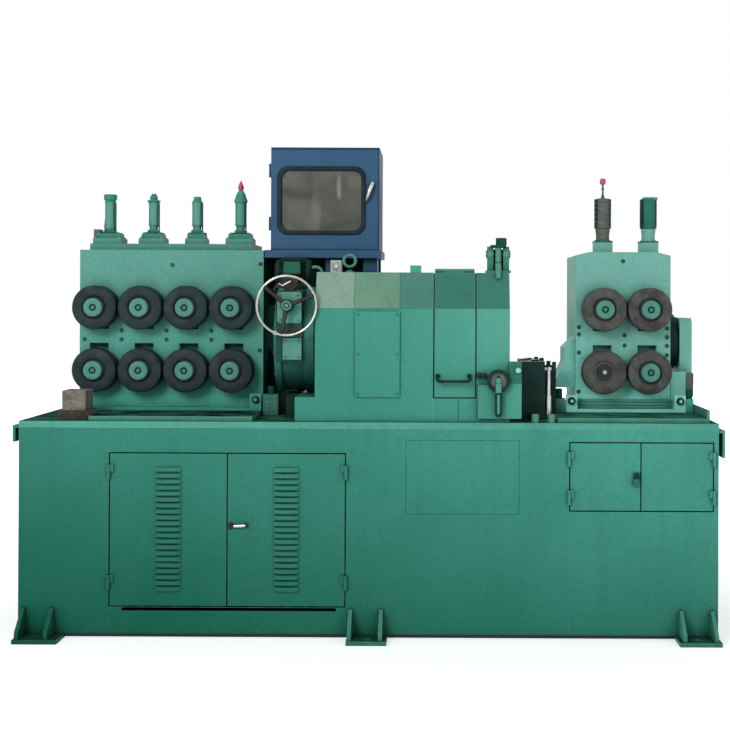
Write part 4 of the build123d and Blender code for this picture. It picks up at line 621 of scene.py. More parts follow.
def hex_head(mesh, centre, axis, radius, height, material=0, start=0.3):
    """Adds a chamfered hexagon head in millimetres that rises along the axis from a centre."""
    edge = 0.12 * radius
    sign = 1 if height > 0 else -1
    profile = [(radius, 0), (radius, height - sign * edge), (radius - edge, height), (0, height)]
    turned(mesh, profile, centre, axis, 6, material, start)


def cap_screw(mesh, centre, axis, radius, height, material=0, hole=1):
    """Adds a round screw head in millimetres, with a socket whose dark finish is painted shade."""
    sign = 1 if height > 0 else -1
    head = [(radius, 0), (radius, height - sign), (radius - 1, height), (radius * 0.5, height)]
    turned(mesh, head, centre, axis, 20, material)
    socket = [(radius * 0.5, height), (radius * 0.5, height * 0.4), (0, height * 0.4)]
    turned(mesh, socket, centre, axis, 6, hole)


def body_of(node):
    """Finds the body that a solid rides on. Without a solid it is the root."""
    bodies = frame["record"]["behaviour"]["bodies"]
    return next((body for body, names in bodies.items() if node in names), "root")


def make_piece(mesh, name, finishes, node=None, replace=False, bevel=0.8,
               smooth_angle=35):
    """Turns a mesh into a piece with softened edges that rides with a solid, or replaces it."""
    bmesh.ops.recalc_face_normals(mesh, faces=mesh.faces)
    data = bpy.data.meshes.new(name)
    mesh.to_mesh(data)
    mesh.free()
    thing = bpy.data.objects.new(name, data)
    bpy.context.scene.collection.objects.link(thing)
    for finish in finishes:
        data.materials.append(FINISHES[finish])
    data.shade_smooth()
    data.set_sharp_from_angle(angle=math.radians(smooth_angle))
    if bevel:
        softened = thing.modifiers.new("softened", "BEVEL")
        softened.width = bevel * MM
        softened.segments = 2
        softened.limit_method = "ANGLE"
        softened.angle_limit = BEVEL_FROM
        softened.harden_normals = True
    body = body_of(node)
    replaces = [node] if replace else []
    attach(thing, body)
    if replaces:
        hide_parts(*replaces)


print("helpers ready")

# %% [markdown]
# Two more helpers measure the solids, and one gives places in millimetres from a point, so that the sizes of
# a small fitting read as on a drawing.

# %% Measure and place


def middle_of(node):
    """Returns the middle of a solid's box."""
    low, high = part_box(node)
    return (low + high) / 2


def roller_x(side):
    """Returns the places of a stand's upper rollers along the bed."""
    names = sorted(name for name in rollers if name.startswith(f"{side}_upper"))
    return [middle_of(name).x for name in names]


def places_from(x, y, z):
    """Returns a function that gives a place in millimetres from a point in metres."""
    return lambda along=0, depth=0, rise=0: Vector((x + along * MM, y + depth * MM, z + rise * MM))


print("upper rollers at:", [round(x, 3) for x in roller_x("left") + roller_x("right")])

# %% [markdown]
# ## Drive rollers
#
# Each roller is a dark tyre on a hub. The face is turned slightly hollow next to the hub, and a black ring in
# that hollow is painted shadow round the cap. The rim is rounded where the bar has polished it. The cap is
# painted with the machine and held by one socket screw, and the floor of its hole is a darker green as
# painted shade. On one roller the cap is missing, and a bright bolt shows in the middle of bare iron.

# %% Turn the rollers
TYRE_W = 70
CAP_REACH = 19
BARE_REACH = 8
BARE_BACK = 165


def tyre_profile(front, back):
    """Returns a roller's profile from the hollow beside its hub to the end of its shaft."""
    return [
        (36, front + 6), (43, front + 6), (47, front + 1.5), (52, front), (79, front), (81, front + 1.2),
        (84, front + 1.2), (87, front + 3), (89, front + 6), (89, front + TYRE_W - 3), (86, front + TYRE_W),
        (27, front + TYRE_W), (27, back), (0, back),
    ]


for name in rollers:
    low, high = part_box(name)
    centre = middle_of(name)
    centre.y = low.y
    back = (high.y - low.y) / MM
    mesh = bmesh.new()
    if back < BARE_BACK:
        turned(mesh, tyre_profile(BARE_REACH, back), centre, segments=72)
        hub = [(0, 14), (22, 14), (23, 11), (30, 11), (31, 14), (36, 14)]
        turned(mesh, hub, centre, segments=48, material=3)
        turned(mesh, [(0, 1), (5, 0), (9, 2), (11, 5), (11, 14)], centre, segments=24, material=4)
    else:
        turned(mesh, tyre_profile(CAP_REACH, back), centre, segments=72)
        # A black ring in the hollow round the cap: painted shadow
        turned(mesh, [(36, CAP_REACH + 6.2), (43, CAP_REACH + 5.8)], centre, segments=48, material=3)
        cap = [(14, 7), (14.5, 1.5), (17, 0.4), (33, 0), (36, 1), (37.5, 3.5), (37.5, 27)]
        turned(mesh, cap, centre, segments=48, material=1)
        # The floor of the cap's hole is a darker green: painted shade
        turned(mesh, [(0, 6.5), (14.2, 6.5)], centre, segments=32, material=2)
        turned(mesh, [(7.5, 7), (7.5, 2), (6.3, 1), (2.6, 1)], centre, segments=24, material=1)
        turned(mesh, [(2.6, 1), (2.6, 4), (0, 4)], centre, segments=6, material=3)
    tyre = "roller_dark" if name.startswith("left") else "roller_brown"
    finishes = [tyre, "hub_green", "side_green", "socket_black", "bright_bolt"]
    make_piece(mesh, name + "_turned", finishes, name, replace=True, bevel=0)
print("rollers turned:", len(rollers))

# %% [markdown]
# ## Pressed louvres
#
# A louvre is slit and pressed out of the door's skin in one stroke. It bulges forward from its upper edge,
# its ends run out round, and it opens downwards, so a dark slot shows under each bright lip; black faces in
# the slot are painted shade. Sweeping a quarter curve along the slit, with its reach falling to nothing at
# the ends, gives that shape.

# %% Press the louvres
LOUVER_COUNT = 21
LOUVER_PITCH = 23
LOUVER_HALF = 50
LOUVER_REACH = 10.5
LOUVER_RISE = 17
LOUVER_LOW_Z = 0.187
LOUVER_X = {"louver_door_left": -0.77225, "louver_door_right": -0.31725}
SKIN_GAP = 0.3
PRESS_STEPS = 18
PRESS_ARC = 6


def press_louver(mesh, x, z, face_y):
    """Adds one louvre to a door's face, with black faces in its slot as painted shade."""
    rows = []
    for n in range(PRESS_STEPS + 1):
        along = 2 * n / PRESS_STEPS - 1
        fullness = (1 - abs(along) ** 6) ** 0.5
        row = []
        for step in range(PRESS_ARC + 1):
            angle = math.pi / 2 * step / PRESS_ARC
            reach = LOUVER_REACH * math.sin(angle) ** 0.8 * fullness
            drop = LOUVER_RISE * (1 - math.cos(angle)) * (0.55 + 0.45 * fullness)
            place = Vector((along * LOUVER_HALF, -reach - SKIN_GAP, LOUVER_RISE * 0.7 - drop)) * MM
            row.append(mesh.verts.new(Vector((x, face_y, z)) + place))
        rows.append(row)
    for first, second in zip(rows, rows[1:]):
        for step in range(PRESS_ARC):
            mesh.faces.new((first[step], second[step], second[step + 1], first[step + 1]))
    # Black faces close the slot under the lip: painted shade
    under = [mesh.verts.new((row[-1].co.x, face_y - SKIN_GAP * MM, row[-1].co.z)) for row in rows]
    for n in range(PRESS_STEPS):
        mesh.faces.new((rows[n][-1], rows[n + 1][-1], under[n + 1], under[n])).material_index = 1


for door, x in LOUVER_X.items():
    mesh = bmesh.new()
    for n in range(LOUVER_COUNT):
        press_louver(mesh, x, LOUVER_LOW_Z + n * LOUVER_PITCH * MM, FRONT_Y)
    make_piece(mesh, door + "_louvers", ["bed_green", "socket_black"], node=door, bevel=0, smooth_angle=50)
print("louvres pressed:", 2 * LOUVER_COUNT)

# %% [markdown]
# ## Air cylinders
#
# One cylinder presses each upper roller down. On the left stand each sits on two square plates, its neck
# swells into a slim barrel, and the four tops differ, because they were made up from what was at hand. On
# the right stand two thick barrels stand on square blocks, and the first has lost most of its paint. Turned
# profiles give the barrels, and blocks with screws in their corners give the plates. The barrels' sides are
# painted darker as painted shade.

# %% Turn the left cylinders
LEFT_TOP_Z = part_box("left_cylinders")[0].z
CYLINDER_Y = middle_of("left_cylinders").y
CYLINDER_FINISHES = [
    "stand_green", "socket_black", "head_green", "drum_green", "right_stand_green", "brown_grey",
    "dark_green", "bed_green_dark",
]
BARREL_END = 178
FLANK_FROM = 0.7
# The widths of each base's two plates, the barrel's radius, and the top as (radius, height over the barrel)
LEFT_CYLINDERS = (
    (118, 96, 22, [(22, 0), (23, 8), (27.5, 11), (27.5, 31), (26, 33), (0, 33)]),
    (106, 86, 21, [(22, 0), (27.5, 2), (27.5, 9), (16, 11), (16, 26), (15, 28), (11, 28), (10, 37), (0, 37)]),
    (88, 72, 21.5, [(22, 0), (21, 7), (16, 11), (16, 22), (14, 25), (0, 25)]),
    (112, 92, 23, [(23, 0), (28, 2), (28.5, 9), (24, 20), (20, 34), (19, 37), (0, 37)]),
)


def square_plate(mesh, at, low, high, width, material=0, screws=True):
    """Adds a square plate round a cylinder's centre line with a screw in each corner."""
    half = width / 2
    block(mesh, at(-half, -half, low), at(half, half, high), material)
    reach = half - 11
    for side_x, side_y in ((-1, -1), (-1, 1), (1, -1), (1, 1)) if screws else ():
        cap_screw(mesh, at(side_x * reach, side_y * reach, high), "Z", 7, 6, material, 1)


def turned_barrel(mesh, profile, foot, segments, material, flank):
    """Turns a barrel and gives the faces that look to the sides a darker paint, as painted shade."""
    known = set(mesh.faces)
    turned(mesh, profile, foot, "Z", segments, material)
    mesh.normal_update()
    for face in mesh.faces:
        if face not in known and abs(face.normal.x) > FLANK_FROM:
            face.material_index = flank


mesh = bmesh.new()
for n, (base_w, flange_w, barrel_r, top) in enumerate(LEFT_CYLINDERS):
    at = places_from(roller_x("left")[n], CYLINDER_Y, LEFT_TOP_Z)
    square_plate(mesh, at, 0, 24, base_w)
    square_plate(mesh, at, 24, 44, flange_w, 2)
    turned(mesh, [(40, 44), (40, 49), (36, 51), (0, 51)], at(), "Z", 40, 3)
    hex_head(mesh, at(0, 0, 51), "Z", 27, 11, 2)
    neck = [(17, 62), (17, 74), (19, 76), (barrel_r, 82)]
    neck += [(barrel_r + 1, 84), (barrel_r + 1, 90), (barrel_r, 92)]
    if n == 0:
        neck = [(24, 62), (26, 72), (25.5, 82), (barrel_r, 112)]
    rim = [(barrel_r, 170), (barrel_r + 1.5, 172), (barrel_r + 1.5, BARREL_END)]
    turned_barrel(mesh, neck + rim, at(), 40, 0, 3)
    turned(mesh, [(radius, BARREL_END + rise) for radius, rise in top], at(), "Z", 40, 2)
    # A tie rod stands in the shade behind each barrel, and a small air fitting near its foot
    for side in (-1, 1):
        turned(mesh, [(3, 51), (3, 176), (0, 176)], at(side * 19, 17), "Z", 10, 3)
    turned(mesh, [(6, 0), (6, 14), (4, 15), (4, 24), (0, 24)], at(0, barrel_r * 0.8, 98), "Y", 12, 3)
# A bare block stands beside the first base
at = places_from(roller_x("left")[0], CYLINDER_Y, LEFT_TOP_Z)
block(mesh, at(-63, -30, 1), at(-37, 30, 62), 5)
make_piece(mesh, "left_cylinders_turned", CYLINDER_FINISHES, node="left_cylinders", replace=True)

# %% Turn the right cylinders
right_low, right_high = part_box("right_cylinders")
RIGHT_TOP_Z = right_low.z
RIGHT_BLOCK_HALF = 0.039
right_cylinder_x = (right_low.x + RIGHT_BLOCK_HALF, right_high.x - RIGHT_BLOCK_HALF)
# The finishes of each neck, barrel and cap, the ribs' count and pitch, and the cap
RIGHT_CYLINDERS = (
    (5, 5, 5, 6, 20, [(26, 231), (24, 233), (9, 235), (8, 239), (0, 239)]),
    (4, 7, 2, 2, 105, [(26, 231), (26, 236), (24, 239), (0, 239)]),
)
mesh = bmesh.new()
for x, details in zip(right_cylinder_x, RIGHT_CYLINDERS):
    neck_finish, barrel_finish, cap_finish, rib_count, pitch, cap = details
    at = places_from(x, CYLINDER_Y, RIGHT_TOP_Z)
    square_plate(mesh, at, 0, 46, 76, 4, screws=False)
    square_plate(mesh, at, 46, 52, 78, 3, screws=False)
    neck = [(36, 52), (36, 55), (29, 58), (28, 70), (29, 84), (31, 98), (30, 104)]
    turned(mesh, neck, at(), "Z", 44, neck_finish)
    ribs = []
    for rise in range(112, 112 + rib_count * pitch, pitch):
        ribs += [(36, rise), (35, rise + 1.5), (35, rise + 4), (36, rise + 5.5)]
    barrel = [(30, 104), (34, 106), (36, 108)] + ribs + [(36, 228), (34, 231), (26, 231)]
    turned_barrel(mesh, barrel, at(), 44, barrel_finish, 6)
    turned(mesh, cap, at(), "Z", 36, cap_finish)
# A flat plate lies over the last barrel's top
block(mesh, at(-18, -25, 226), at(36, 25, 239), 2)
make_piece(mesh, "right_cylinders_turned", CYLINDER_FINISHES, node="right_cylinders", replace=True)

# %% Caps and fitting
plug_foot = (roller_x("left")[-1], CYLINDER_Y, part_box("left_cylinders")[1].z)
fitting_foot = (right_cylinder_x[0], CYLINDER_Y, RIGHT_TOP_Z + 239 * MM)
mesh = bmesh.new()
turned(mesh, [(19, 0), (16, 6), (13, 11), (12, 14), (0, 14)], plug_foot, "Z", 28, 1)
plug = [(6, 13), (9, 16), (12.5, 24), (12, 32), (8.5, 42), (4, 52), (1, 58.5), (0, 59)]
turned(mesh, plug, plug_foot, "Z", 28, 0)
stem = [(6, 0), (6, 10), (4, 12), (4, 30), (6, 32), (6, 38), (4, 40), (4, 54)]
turned(mesh, stem, fitting_foot, "Z", 16, 2)
turned(mesh, [(0, 53), (11, 55), (12.5, 60), (12.5, 72), (10, 79), (0, 81)], fitting_foot, "Z", 28, 0)
make_piece(mesh, "fitting_caps_moulded", ["cap_red", "stand_green", "brown_grey"],
           "fitting_caps", replace=True, bevel=0)
print("cylinders:", len(LEFT_CYLINDERS) + len(RIGHT_CYLINDERS))

# %% [markdown]
# ## Screws on the stands
#
# The castings are held by socket screws, most of them in the band between the two rows of rollers and along
# the right casting's edges. Each is sunk a little, and a black ring round it is painted shadow.

# %% Screws on the stands
LEFT_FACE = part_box("left_stand_housing")
RIGHT_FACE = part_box("right_stand_housing")
STAND_FACE_Y = FRONT_Y + 0.345
SCREW_R = 6.5


def stand_screws(side, places):
    """Sinks socket screws into one stand's face."""
    mesh = bmesh.new()
    for x, z in places:
        place = (x, STAND_FACE_Y, z)
        # A black ring round the screw: painted shadow
        turned(mesh, [(SCREW_R + 2.5, 0), (SCREW_R + 2, -0.6), (SCREW_R, -0.6)], place, "Y", 24, 1)
        cap_screw(mesh, place, "Y", SCREW_R, -3, 2, 1)
    paint = "stand_green" if side == "left" else "right_stand_green"
    make_piece(mesh, side + "_stand_screws", [paint, "socket_black", "drum_green"], bevel=0)


left_x = roller_x("left")
middles = [(first + second) / 2 for first, second in zip(left_x, left_x[1:])]
left_places = [(x, z) for x in middles for z in (1.176, 1.139)]
left_places += [(left_x[0] - 0.06, 1.139), (left_x[-1] + 0.107, 1.096)]
left_places += [(left_x[1] + 0.116, 1.446), (left_x[-1] + 0.109, 1.452)]
stand_screws("left", left_places)

right_x = roller_x("right")
middle = sum(right_x) / 2
right_places = [(middle, 1.165), (middle, 1.123)]
right_places += [(right_x[0] - 0.096, z) for z in (1.198, 1.168, 1.093, 0.932)]
right_places += [(right_x[-1] + 0.082, z) for z in (1.194, 1.158, 1.122, 1.084)] + [(middle - 0.008, 1.47)]
stand_screws("right", right_places)
print("screws:", len(left_places) + len(right_places))

# %% [markdown]
# ## Tools for bent and cut parts
#
# Spokes, pipes, handles and the rim of the wheel are rods that follow a path. Covers, ears and links are
# plates cut to an outline.

# %% Sweep rods and cut plates


def rod(mesh, path, radii, segments=14, material=0, closed=False):
    """Sweeps a circle along a path in metres, with one radius in millimetres or one for each point."""
    points = [Vector(point) for point in path]
    count = len(points)
    across = (points[1] - points[0]).orthogonal().normalized()
    rings = []
    for n, point in enumerate(points):
        after = points[(n + 1) % count] if closed else points[min(n + 1, count - 1)]
        before = points[n - 1] if closed else points[max(n - 1, 0)]
        ahead = (after - before).normalized()
        across = (across - ahead * across.dot(ahead)).normalized()
        side = ahead.cross(across)
        radius = (radii[n] if isinstance(radii, (list, tuple)) else radii) * MM
        ring = []
        for step in range(segments):
            angle = math.tau * step / segments
            ring.append(mesh.verts.new(point + (across * math.cos(angle) + side * math.sin(angle)) * radius))
        rings.append(ring)
    pairs = list(zip(rings, rings[1:])) + ([(rings[-1], rings[0])] if closed else [])
    for first, second in pairs:
        for step in range(segments):
            after = (step + 1) % segments
            face = mesh.faces.new((first[step], first[after], second[after], second[step]))
            face.material_index = material
    if not closed:
        for ring in (rings[0], rings[-1]):
            mesh.faces.new(ring).material_index = material


def circle_path(centre, radius, count=64, start=0.0, sweep=math.tau):
    """Returns points round a centre, as seen from the front. A full turn leaves out the last one."""
    full = abs(sweep - math.tau) < 1e-6
    angles = [start + sweep * n / count for n in range(count if full else count + 1)]
    return [Vector(centre) + Vector((math.cos(angle), 0, math.sin(angle))) * radius for angle in angles]


def arc(centre, radii, start, sweep, steps):
    """Returns the points of an arc in an outline, in metres."""
    angles = [start + sweep * n / steps for n in range(steps + 1)]
    (x, z), (wide, tall) = centre, radii
    return [(x + wide * math.cos(angle), z + tall * math.sin(angle)) for angle in angles]


def rounded_outline(low, high, radius, steps=5):
    """Returns the outline of a rectangle with rounded corners, in metres."""
    left, right, bottom, top = low[0] + radius, high[0] - radius, low[1] + radius, high[1] - radius
    outline = []
    for quarter, centre in enumerate(((right, top), (left, top), (left, bottom), (right, bottom))):
        outline += arc(centre, (radius, radius), math.pi / 2 * quarter, math.pi / 2, steps)
    return outline


def plate(mesh, outline, low, high, axis="Y", material=0):
    """Cuts a plate to an outline of points in metres, between two places along an axis."""
    ends = [[mesh.verts.new(AXES[axis](along, a, b)) for a, b in outline] for along in (low, high)]
    count = len(outline)
    for n in range(count):
        after = (n + 1) % count
        mesh.faces.new((ends[0][n], ends[0][after], ends[1][after], ends[1][n])).material_index = material
    for end in ends:
        mesh.faces.new(end).material_index = material


def screw_grid(mesh, xs, y, zs, radius, height, material=0, hole=1):
    """Sets a cap screw at each crossing of some columns and rows on a front face."""
    for x in xs:
        for z in zs:
            cap_screw(mesh, (x, y, z), "Y", radius, height, material, hole)


print("rods and plates ready")

# %% [markdown]
# ## Handwheel and gearbox
#
# The wheel's rim is polished steel, and its three tapered spokes are dark cast iron. Behind it the gearbox
# has a light cover with a rounded foot over a hollow painted black as painted shade, a second cover below,
# and the motor with its fins on top.

# %% Handwheel
SPOKE_ANGLES = (20, 140, 260)
GRIP_ANGLE = 248
RIM_WIRE = 5.2
wheel_low, wheel_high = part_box("handwheel")
wheel_r = (wheel_high.x - wheel_low.x) / 2 - 0.006
wheel_centre = middle_of("handwheel")
wheel_centre.y = wheel_low.y + 0.006


def way_at(degrees):
    """Returns the direction from the wheel's centre at an angle."""
    return Vector((math.cos(math.radians(degrees)), 0, math.sin(math.radians(degrees))))


mesh = bmesh.new()
rod(mesh, circle_path(wheel_centre, wheel_r, 96), RIM_WIRE, 16, closed=True)
for angle in SPOKE_ANGLES:
    steps = [(0.016, 11, 0.014), (0.03, 9.5, 0.011), (0.06, 8, 0.006), (0.095, 7.5, 0.002),
             (wheel_r - 0.002, 8, 0)]
    path = [wheel_centre + way_at(angle) * reach + Vector((0, back, 0)) for reach, radius, back in steps]
    rod(mesh, path, [radius for reach, radius, back in steps], 12, 1)
hub = [(0, 0), (8, 0), (9, 2), (12, 2), (12, -3), (18, -3), (19, -1), (24, 4), (24, 20), (21, 24), (10, 24),
       (10, 78)]
turned(mesh, hub, wheel_centre, material=1)
turned(mesh, [(18.5, -3.2), (12.5, -3.2)], wheel_centre, segments=32, material=2)
hex_head(mesh, wheel_centre + Vector((0, 0.002, 0)), "Y", 9, -6, 2)
grip = [(0, 7), (9, 7), (10, 4), (10, -3), (8, -5.5), (5, -5.5), (5, -3), (0, -3)]
turned(mesh, grip, wheel_centre + way_at(GRIP_ANGLE) * wheel_r, segments=20)
make_piece(mesh, "handwheel_cast", ["rim_silver", "spoke_brown", "hub_green"], "handwheel",
           replace=True, bevel=0)

# %% Gearbox covers
GEAR_Y = FRONT_Y + 0.052
gear_low, gear_high = (wheel_centre.x - 0.042, 1.214), (wheel_centre.x + 0.052, 1.336)
under_low, under_high = (wheel_centre.x - 0.02, 1.072), (wheel_centre.x + 0.053, 1.156)
mesh = bmesh.new()
plate(mesh, rounded_outline(gear_low, gear_high, 0.012), GEAR_Y, GEAR_Y + 0.009)
columns, rows = (gear_low[0] + 0.011, gear_high[0] - 0.011), (gear_low[1] + 0.012, gear_high[1] - 0.012)
screw_grid(mesh, columns, GEAR_Y, rows, 5, -4)
# A black half-disc under the cover is painted shade in the hollow
hollow = arc((wheel_centre.x + 0.012, 1.168), (0.036, 0.034), 0, math.pi, 16)
plate(mesh, hollow, GEAR_Y + 0.004, GEAR_Y + 0.009, material=1)
plate(mesh, rounded_outline(under_low, under_high, 0.003), GEAR_Y - 0.001, GEAR_Y + 0.009, material=2)
columns, rows = (under_low[0] + 0.01, under_high[0] - 0.01), (under_low[1] + 0.01, under_high[1] - 0.01)
screw_grid(mesh, columns, GEAR_Y - 0.001, rows, 4.5, -3.5, 2)
make_piece(mesh, "gearbox_covers", ["stand_green", "socket_black", "hub_green"])

# %% Motor, its box and its pipes
FIN_COUNT = 26
FIN_HALF = 0.0012
FIN_CORNERS = ((0.043, -1), (0.054, -1), (0.054, 1), (0.043, 1))
motor_low, motor_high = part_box("head_motor")
motor = middle_of("head_motor")
motor.z = motor_high.z - 0.055
at = places_from(*motor)
mesh = bmesh.new()
shell = [
    (0, -74), (30, -74), (44, -70), (50, -62), (50, -52), (44, -50), (44, 52), (50, 54), (50, 66), (42, 73),
    (0, 74),
]
turned(mesh, shell, motor, "X", 48)
for n in range(FIN_COUNT):
    angle = math.tau * n / FIN_COUNT
    across, up = math.cos(angle), math.sin(angle)
    outline = []
    for reach, way in FIN_CORNERS:
        half = FIN_HALF * way
        outline.append((motor.y + across * reach - up * half, motor.z + up * reach + across * half))
    plate(mesh, outline, motor.x - 0.05, motor.x + 0.052, "X")
block(mesh, (motor.x - 0.055, motor.y - 0.028, motor_low.z), at(55, 28, -40))
block(mesh, at(-30, -95, -10), at(35, -48, 38), 1)
columns, rows = (motor.x - 0.024, motor.x + 0.029), (motor.z - 0.004, motor.z + 0.032)
screw_grid(mesh, columns, motor.y - 0.095, rows, 3.5, -3, 1, 2)
rod(mesh, [at(-20, -70, -10), at(-30, -100, -40), at(-52, -130, -60), at(-58, -170, -75)], 6, 12, 2)
bend = circle_path(at(95, -60, -10), 0.028, 10, math.radians(-10), math.radians(130))
rod(mesh, bend, 6.5, 12, 3)
make_piece(mesh, "head_motor_finned", ["dark_green", "drum_green", "socket_black", "hub_green"],
           node="head_motor", replace=True)

# %% Small lever behind the wheel
at = places_from(wheel_centre.x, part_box("handwheel_gearbox")[0].y, 1.36)
mesh = bmesh.new()
rod(mesh, [at(-34, -12, 8), at(-20, -12), at(12, -12, 18)], [3.5, 3.5, 3], 10, 1)
turned(mesh, [(0, -10), (10, -10), (11, -8), (11, 24)], at(-36), segments=24)
turned(mesh, [(0, -6), (30, -6), (32, -4), (32, 20)], at(4, 30, 12), segments=36)
make_piece(mesh, "gearbox_lever", ["spoke_brown", "bright_bolt"], bevel=0)

# %% Drum bolts
DRUM_BOLTS = 12
BOLT_CIRCLE_R = 0.19
drum = middle_of("head_drum")
drum.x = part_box("head_drum")[0].x
mesh = bmesh.new()
for n in range(DRUM_BOLTS):
    angle = math.tau * (n + 0.5) / DRUM_BOLTS
    hex_head(mesh, drum + Vector((0, math.cos(angle), math.sin(angle))) * BOLT_CIRCLE_R, "X", 10, -8)
make_piece(mesh, "drum_bolts", ["black_bolt"], bevel=0.4)
print("wheel side ready")

# %% [markdown]
# ## Peeling head
#
# The sloped band on top is a row of covers, pale grey-green on the left to the head's own green. They are
# thin plates laid on the slope, and their tones are partly their own paint and partly painted sheen and
# shade.
# Over the door and the right block the slope is a darker green, as painted shade. The lifting eye, the swing
# clamp, a pale switch box and the fasteners stand on the head.

# %% Covers on the slope
HEAD_FRONT_Y = FRONT_Y + 0.015
HEAD_TOP_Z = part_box("head_right_block")[1].z
SLOPE_FOOT_Z = HEAD_TOP_Z - 0.141
SLOPE_BACK_Y = HEAD_FRONT_Y + 0.06
# The ends of each cover along the bed, its paint and the paint of its clouds
COVERS = (
    ("faded_cover", -0.211, -0.060, (146, 170, 153), (118, 152, 134)),
    ("grey_cover", -0.060, 0.117, (118, 157, 134), (98, 141, 118)),
    ("plain_cover", 0.117, 0.249, (84, 141, 125), (72, 126, 110)),
)


def slope_plate(mesh, x0, x1, share0, share1, lift):
    """Lays a thin plate on the head's slope, between two shares of its height."""
    run = Vector((0, SLOPE_BACK_Y - HEAD_FRONT_Y, HEAD_TOP_Z - SLOPE_FOOT_Z))
    out = Vector((0, -run.z, run.y)).normalized() * lift
    foot = Vector((0, HEAD_FRONT_Y, SLOPE_FOOT_Z))
    corners = [foot + run * share0, foot + run * share1, foot + run * share1 + out, foot + run * share0 + out]
    plate(mesh, [(corner.y, corner.z) for corner in corners], x0, x1, "X")


for name, x0, x1, paint, second in COVERS:
    mesh = bmesh.new()
    slope_plate(mesh, x0 + 0.001, x1 - 0.001, 0.004, 0.998, 0.0016)
    enamel(name + "_paint", paint, second, clouds=0.9, runs=0.3, dust_and_shade_colour=(60, 84, 70))
    make_piece(mesh, name, [name + "_paint"], bevel=0.4)

# Over the door and the right block the slope takes a darker green: painted shade
for name, node in (("door_slope", "head_door"), ("right_slope", "head_right_block")):
    low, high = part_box(node)
    mesh = bmesh.new()
    slope_plate(mesh, low.x + 0.002, high.x - 0.002, 0.006, 0.99, 0.0009)
    make_piece(mesh, name, ["slope_green"], node=node, bevel=0.3)

# %% Panel screws, latch pin and switch box
low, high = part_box("head_bolted_panel")
rows = (low.z + 0.012, (low.z + high.z) / 2, high.z - 0.012)
mesh = bmesh.new()
screw_grid(mesh, (low.x + 0.01, high.x - 0.01), low.y, rows, 4.5, -3)
make_piece(mesh, "panel_screws", ["head_green", "socket_black"], bevel=0)

PIN_Z = 1.015
at = places_from(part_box("head_door")[1].x, HEAD_FRONT_Y, PIN_Z)
mesh = bmesh.new()
rod(mesh, [at(2, -9), at(42, -9)], 8.5)
for along in (6, 27):
    block(mesh, at(along, -12, -13), at(along + 8, 0, 13), 1)
make_piece(mesh, "latch_pin", ["black_bolt", "bed_green_dark"])

SWITCH_X, SWITCH_Y = -0.146, -0.25
SWITCH_TALL = 51
at = places_from(SWITCH_X, SWITCH_Y, HEAD_TOP_Z)
mesh = bmesh.new()
block(mesh, at(-22), at(22, 60, SWITCH_TALL))
for ring in ([(13, -2), (15, -2), (15, 0)], [(0, -3), (9, -3), (10, 0)]):
    turned(mesh, ring, at(rise=SWITCH_TALL / 2), segments=28, material=1)
make_piece(mesh, "switch_box", ["box_white", "bright_bolt"], bevel=2)

# %% Lifting eye
EYE_WIRE = 6.5
low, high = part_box("lifting_eye")
eye_r = (high.x - low.x) / 2 - EYE_WIRE * MM
eye_x, eye_y = (low.x + high.x) / 2 - 0.006, (low.y + high.y) / 2
mesh = bmesh.new()
eye_z = high.z - eye_r - EYE_WIRE * MM + 0.004
rod(mesh, circle_path((eye_x, eye_y, eye_z), eye_r, 48), EYE_WIRE, closed=True)
turned(mesh, [(17, 0), (17, 5), (14, 8), (9, 8), (8, 12)], (eye_x, eye_y, HEAD_TOP_Z), "Z", 28)
make_piece(mesh, "lifting_eye_forged", ["hub_green"], node="lifting_eye", replace=True, bevel=0)

# %% Swing clamp
EAR_RISE = 74
clamp_low, clamp_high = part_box("top_swing_clamp")
clamp = middle_of("top_swing_clamp")
ear_z = HEAD_TOP_Z + EAR_RISE * MM
at = places_from(clamp.x, clamp.y, HEAD_TOP_Z)
mesh = bmesh.new()
block(mesh, (clamp_low.x, clamp_low.y, HEAD_TOP_Z), (clamp_high.x, clamp_high.y, HEAD_TOP_Z + 0.01))
for side in (-1, 1):
    outline = [(clamp.y + 0.017, HEAD_TOP_Z + 0.008)] + arc((clamp.y, ear_z), (0.017, 0.03), 0, math.pi, 12)
    outline.append((clamp.y - 0.017, HEAD_TOP_Z + 0.008))
    plate(mesh, outline, *sorted((clamp.x + side * 0.019, clamp.x + side * 0.043)), "X")
    boss = [(0, side * 48), (13, side * 48), (16, side * 45), (16, side * 18)]
    turned(mesh, boss, at(rise=EAR_RISE), "X", 28)
    # A lighter green on the dome in front of each ear is painted highlight
    turned(mesh, [(0, -9), (9, -8), (13, -5), (15, 4)], at(side * 31, -13, EAR_RISE), "Y", 24, 1)
# A web joins the ears behind the bolt
block(mesh, at(-24, 8, 9), at(24, 17, 94), 2)
rod(mesh, [at(0, -12, 105), at(0, -14, 40)], 12.5, 20, 1)
turned(mesh, [(11, 0), (15, 0), (15, 4), (11, 4)], at(0, -14, 38), "Z", 28, 2)
hang = [at(0, -14, 39), at(0, -34, 12), (clamp.x, HEAD_FRONT_Y + 0.042, HEAD_TOP_Z - 0.024)]
rod(mesh, hang, [12.5, 12.5, 10], 20, 1)
turned(mesh, [(13, 98), (30, 100), (32, 103), (32, 108), (30, 110), (14, 110)], at(), "Z", 32, 2)
hex_head(mesh, at(12, 0, 110), "Z", 23, 28, 2)
make_piece(mesh, "top_swing_clamp_forged", ["slope_green", "hub_green", "side_green"], node="top_swing_clamp",
           replace=True)

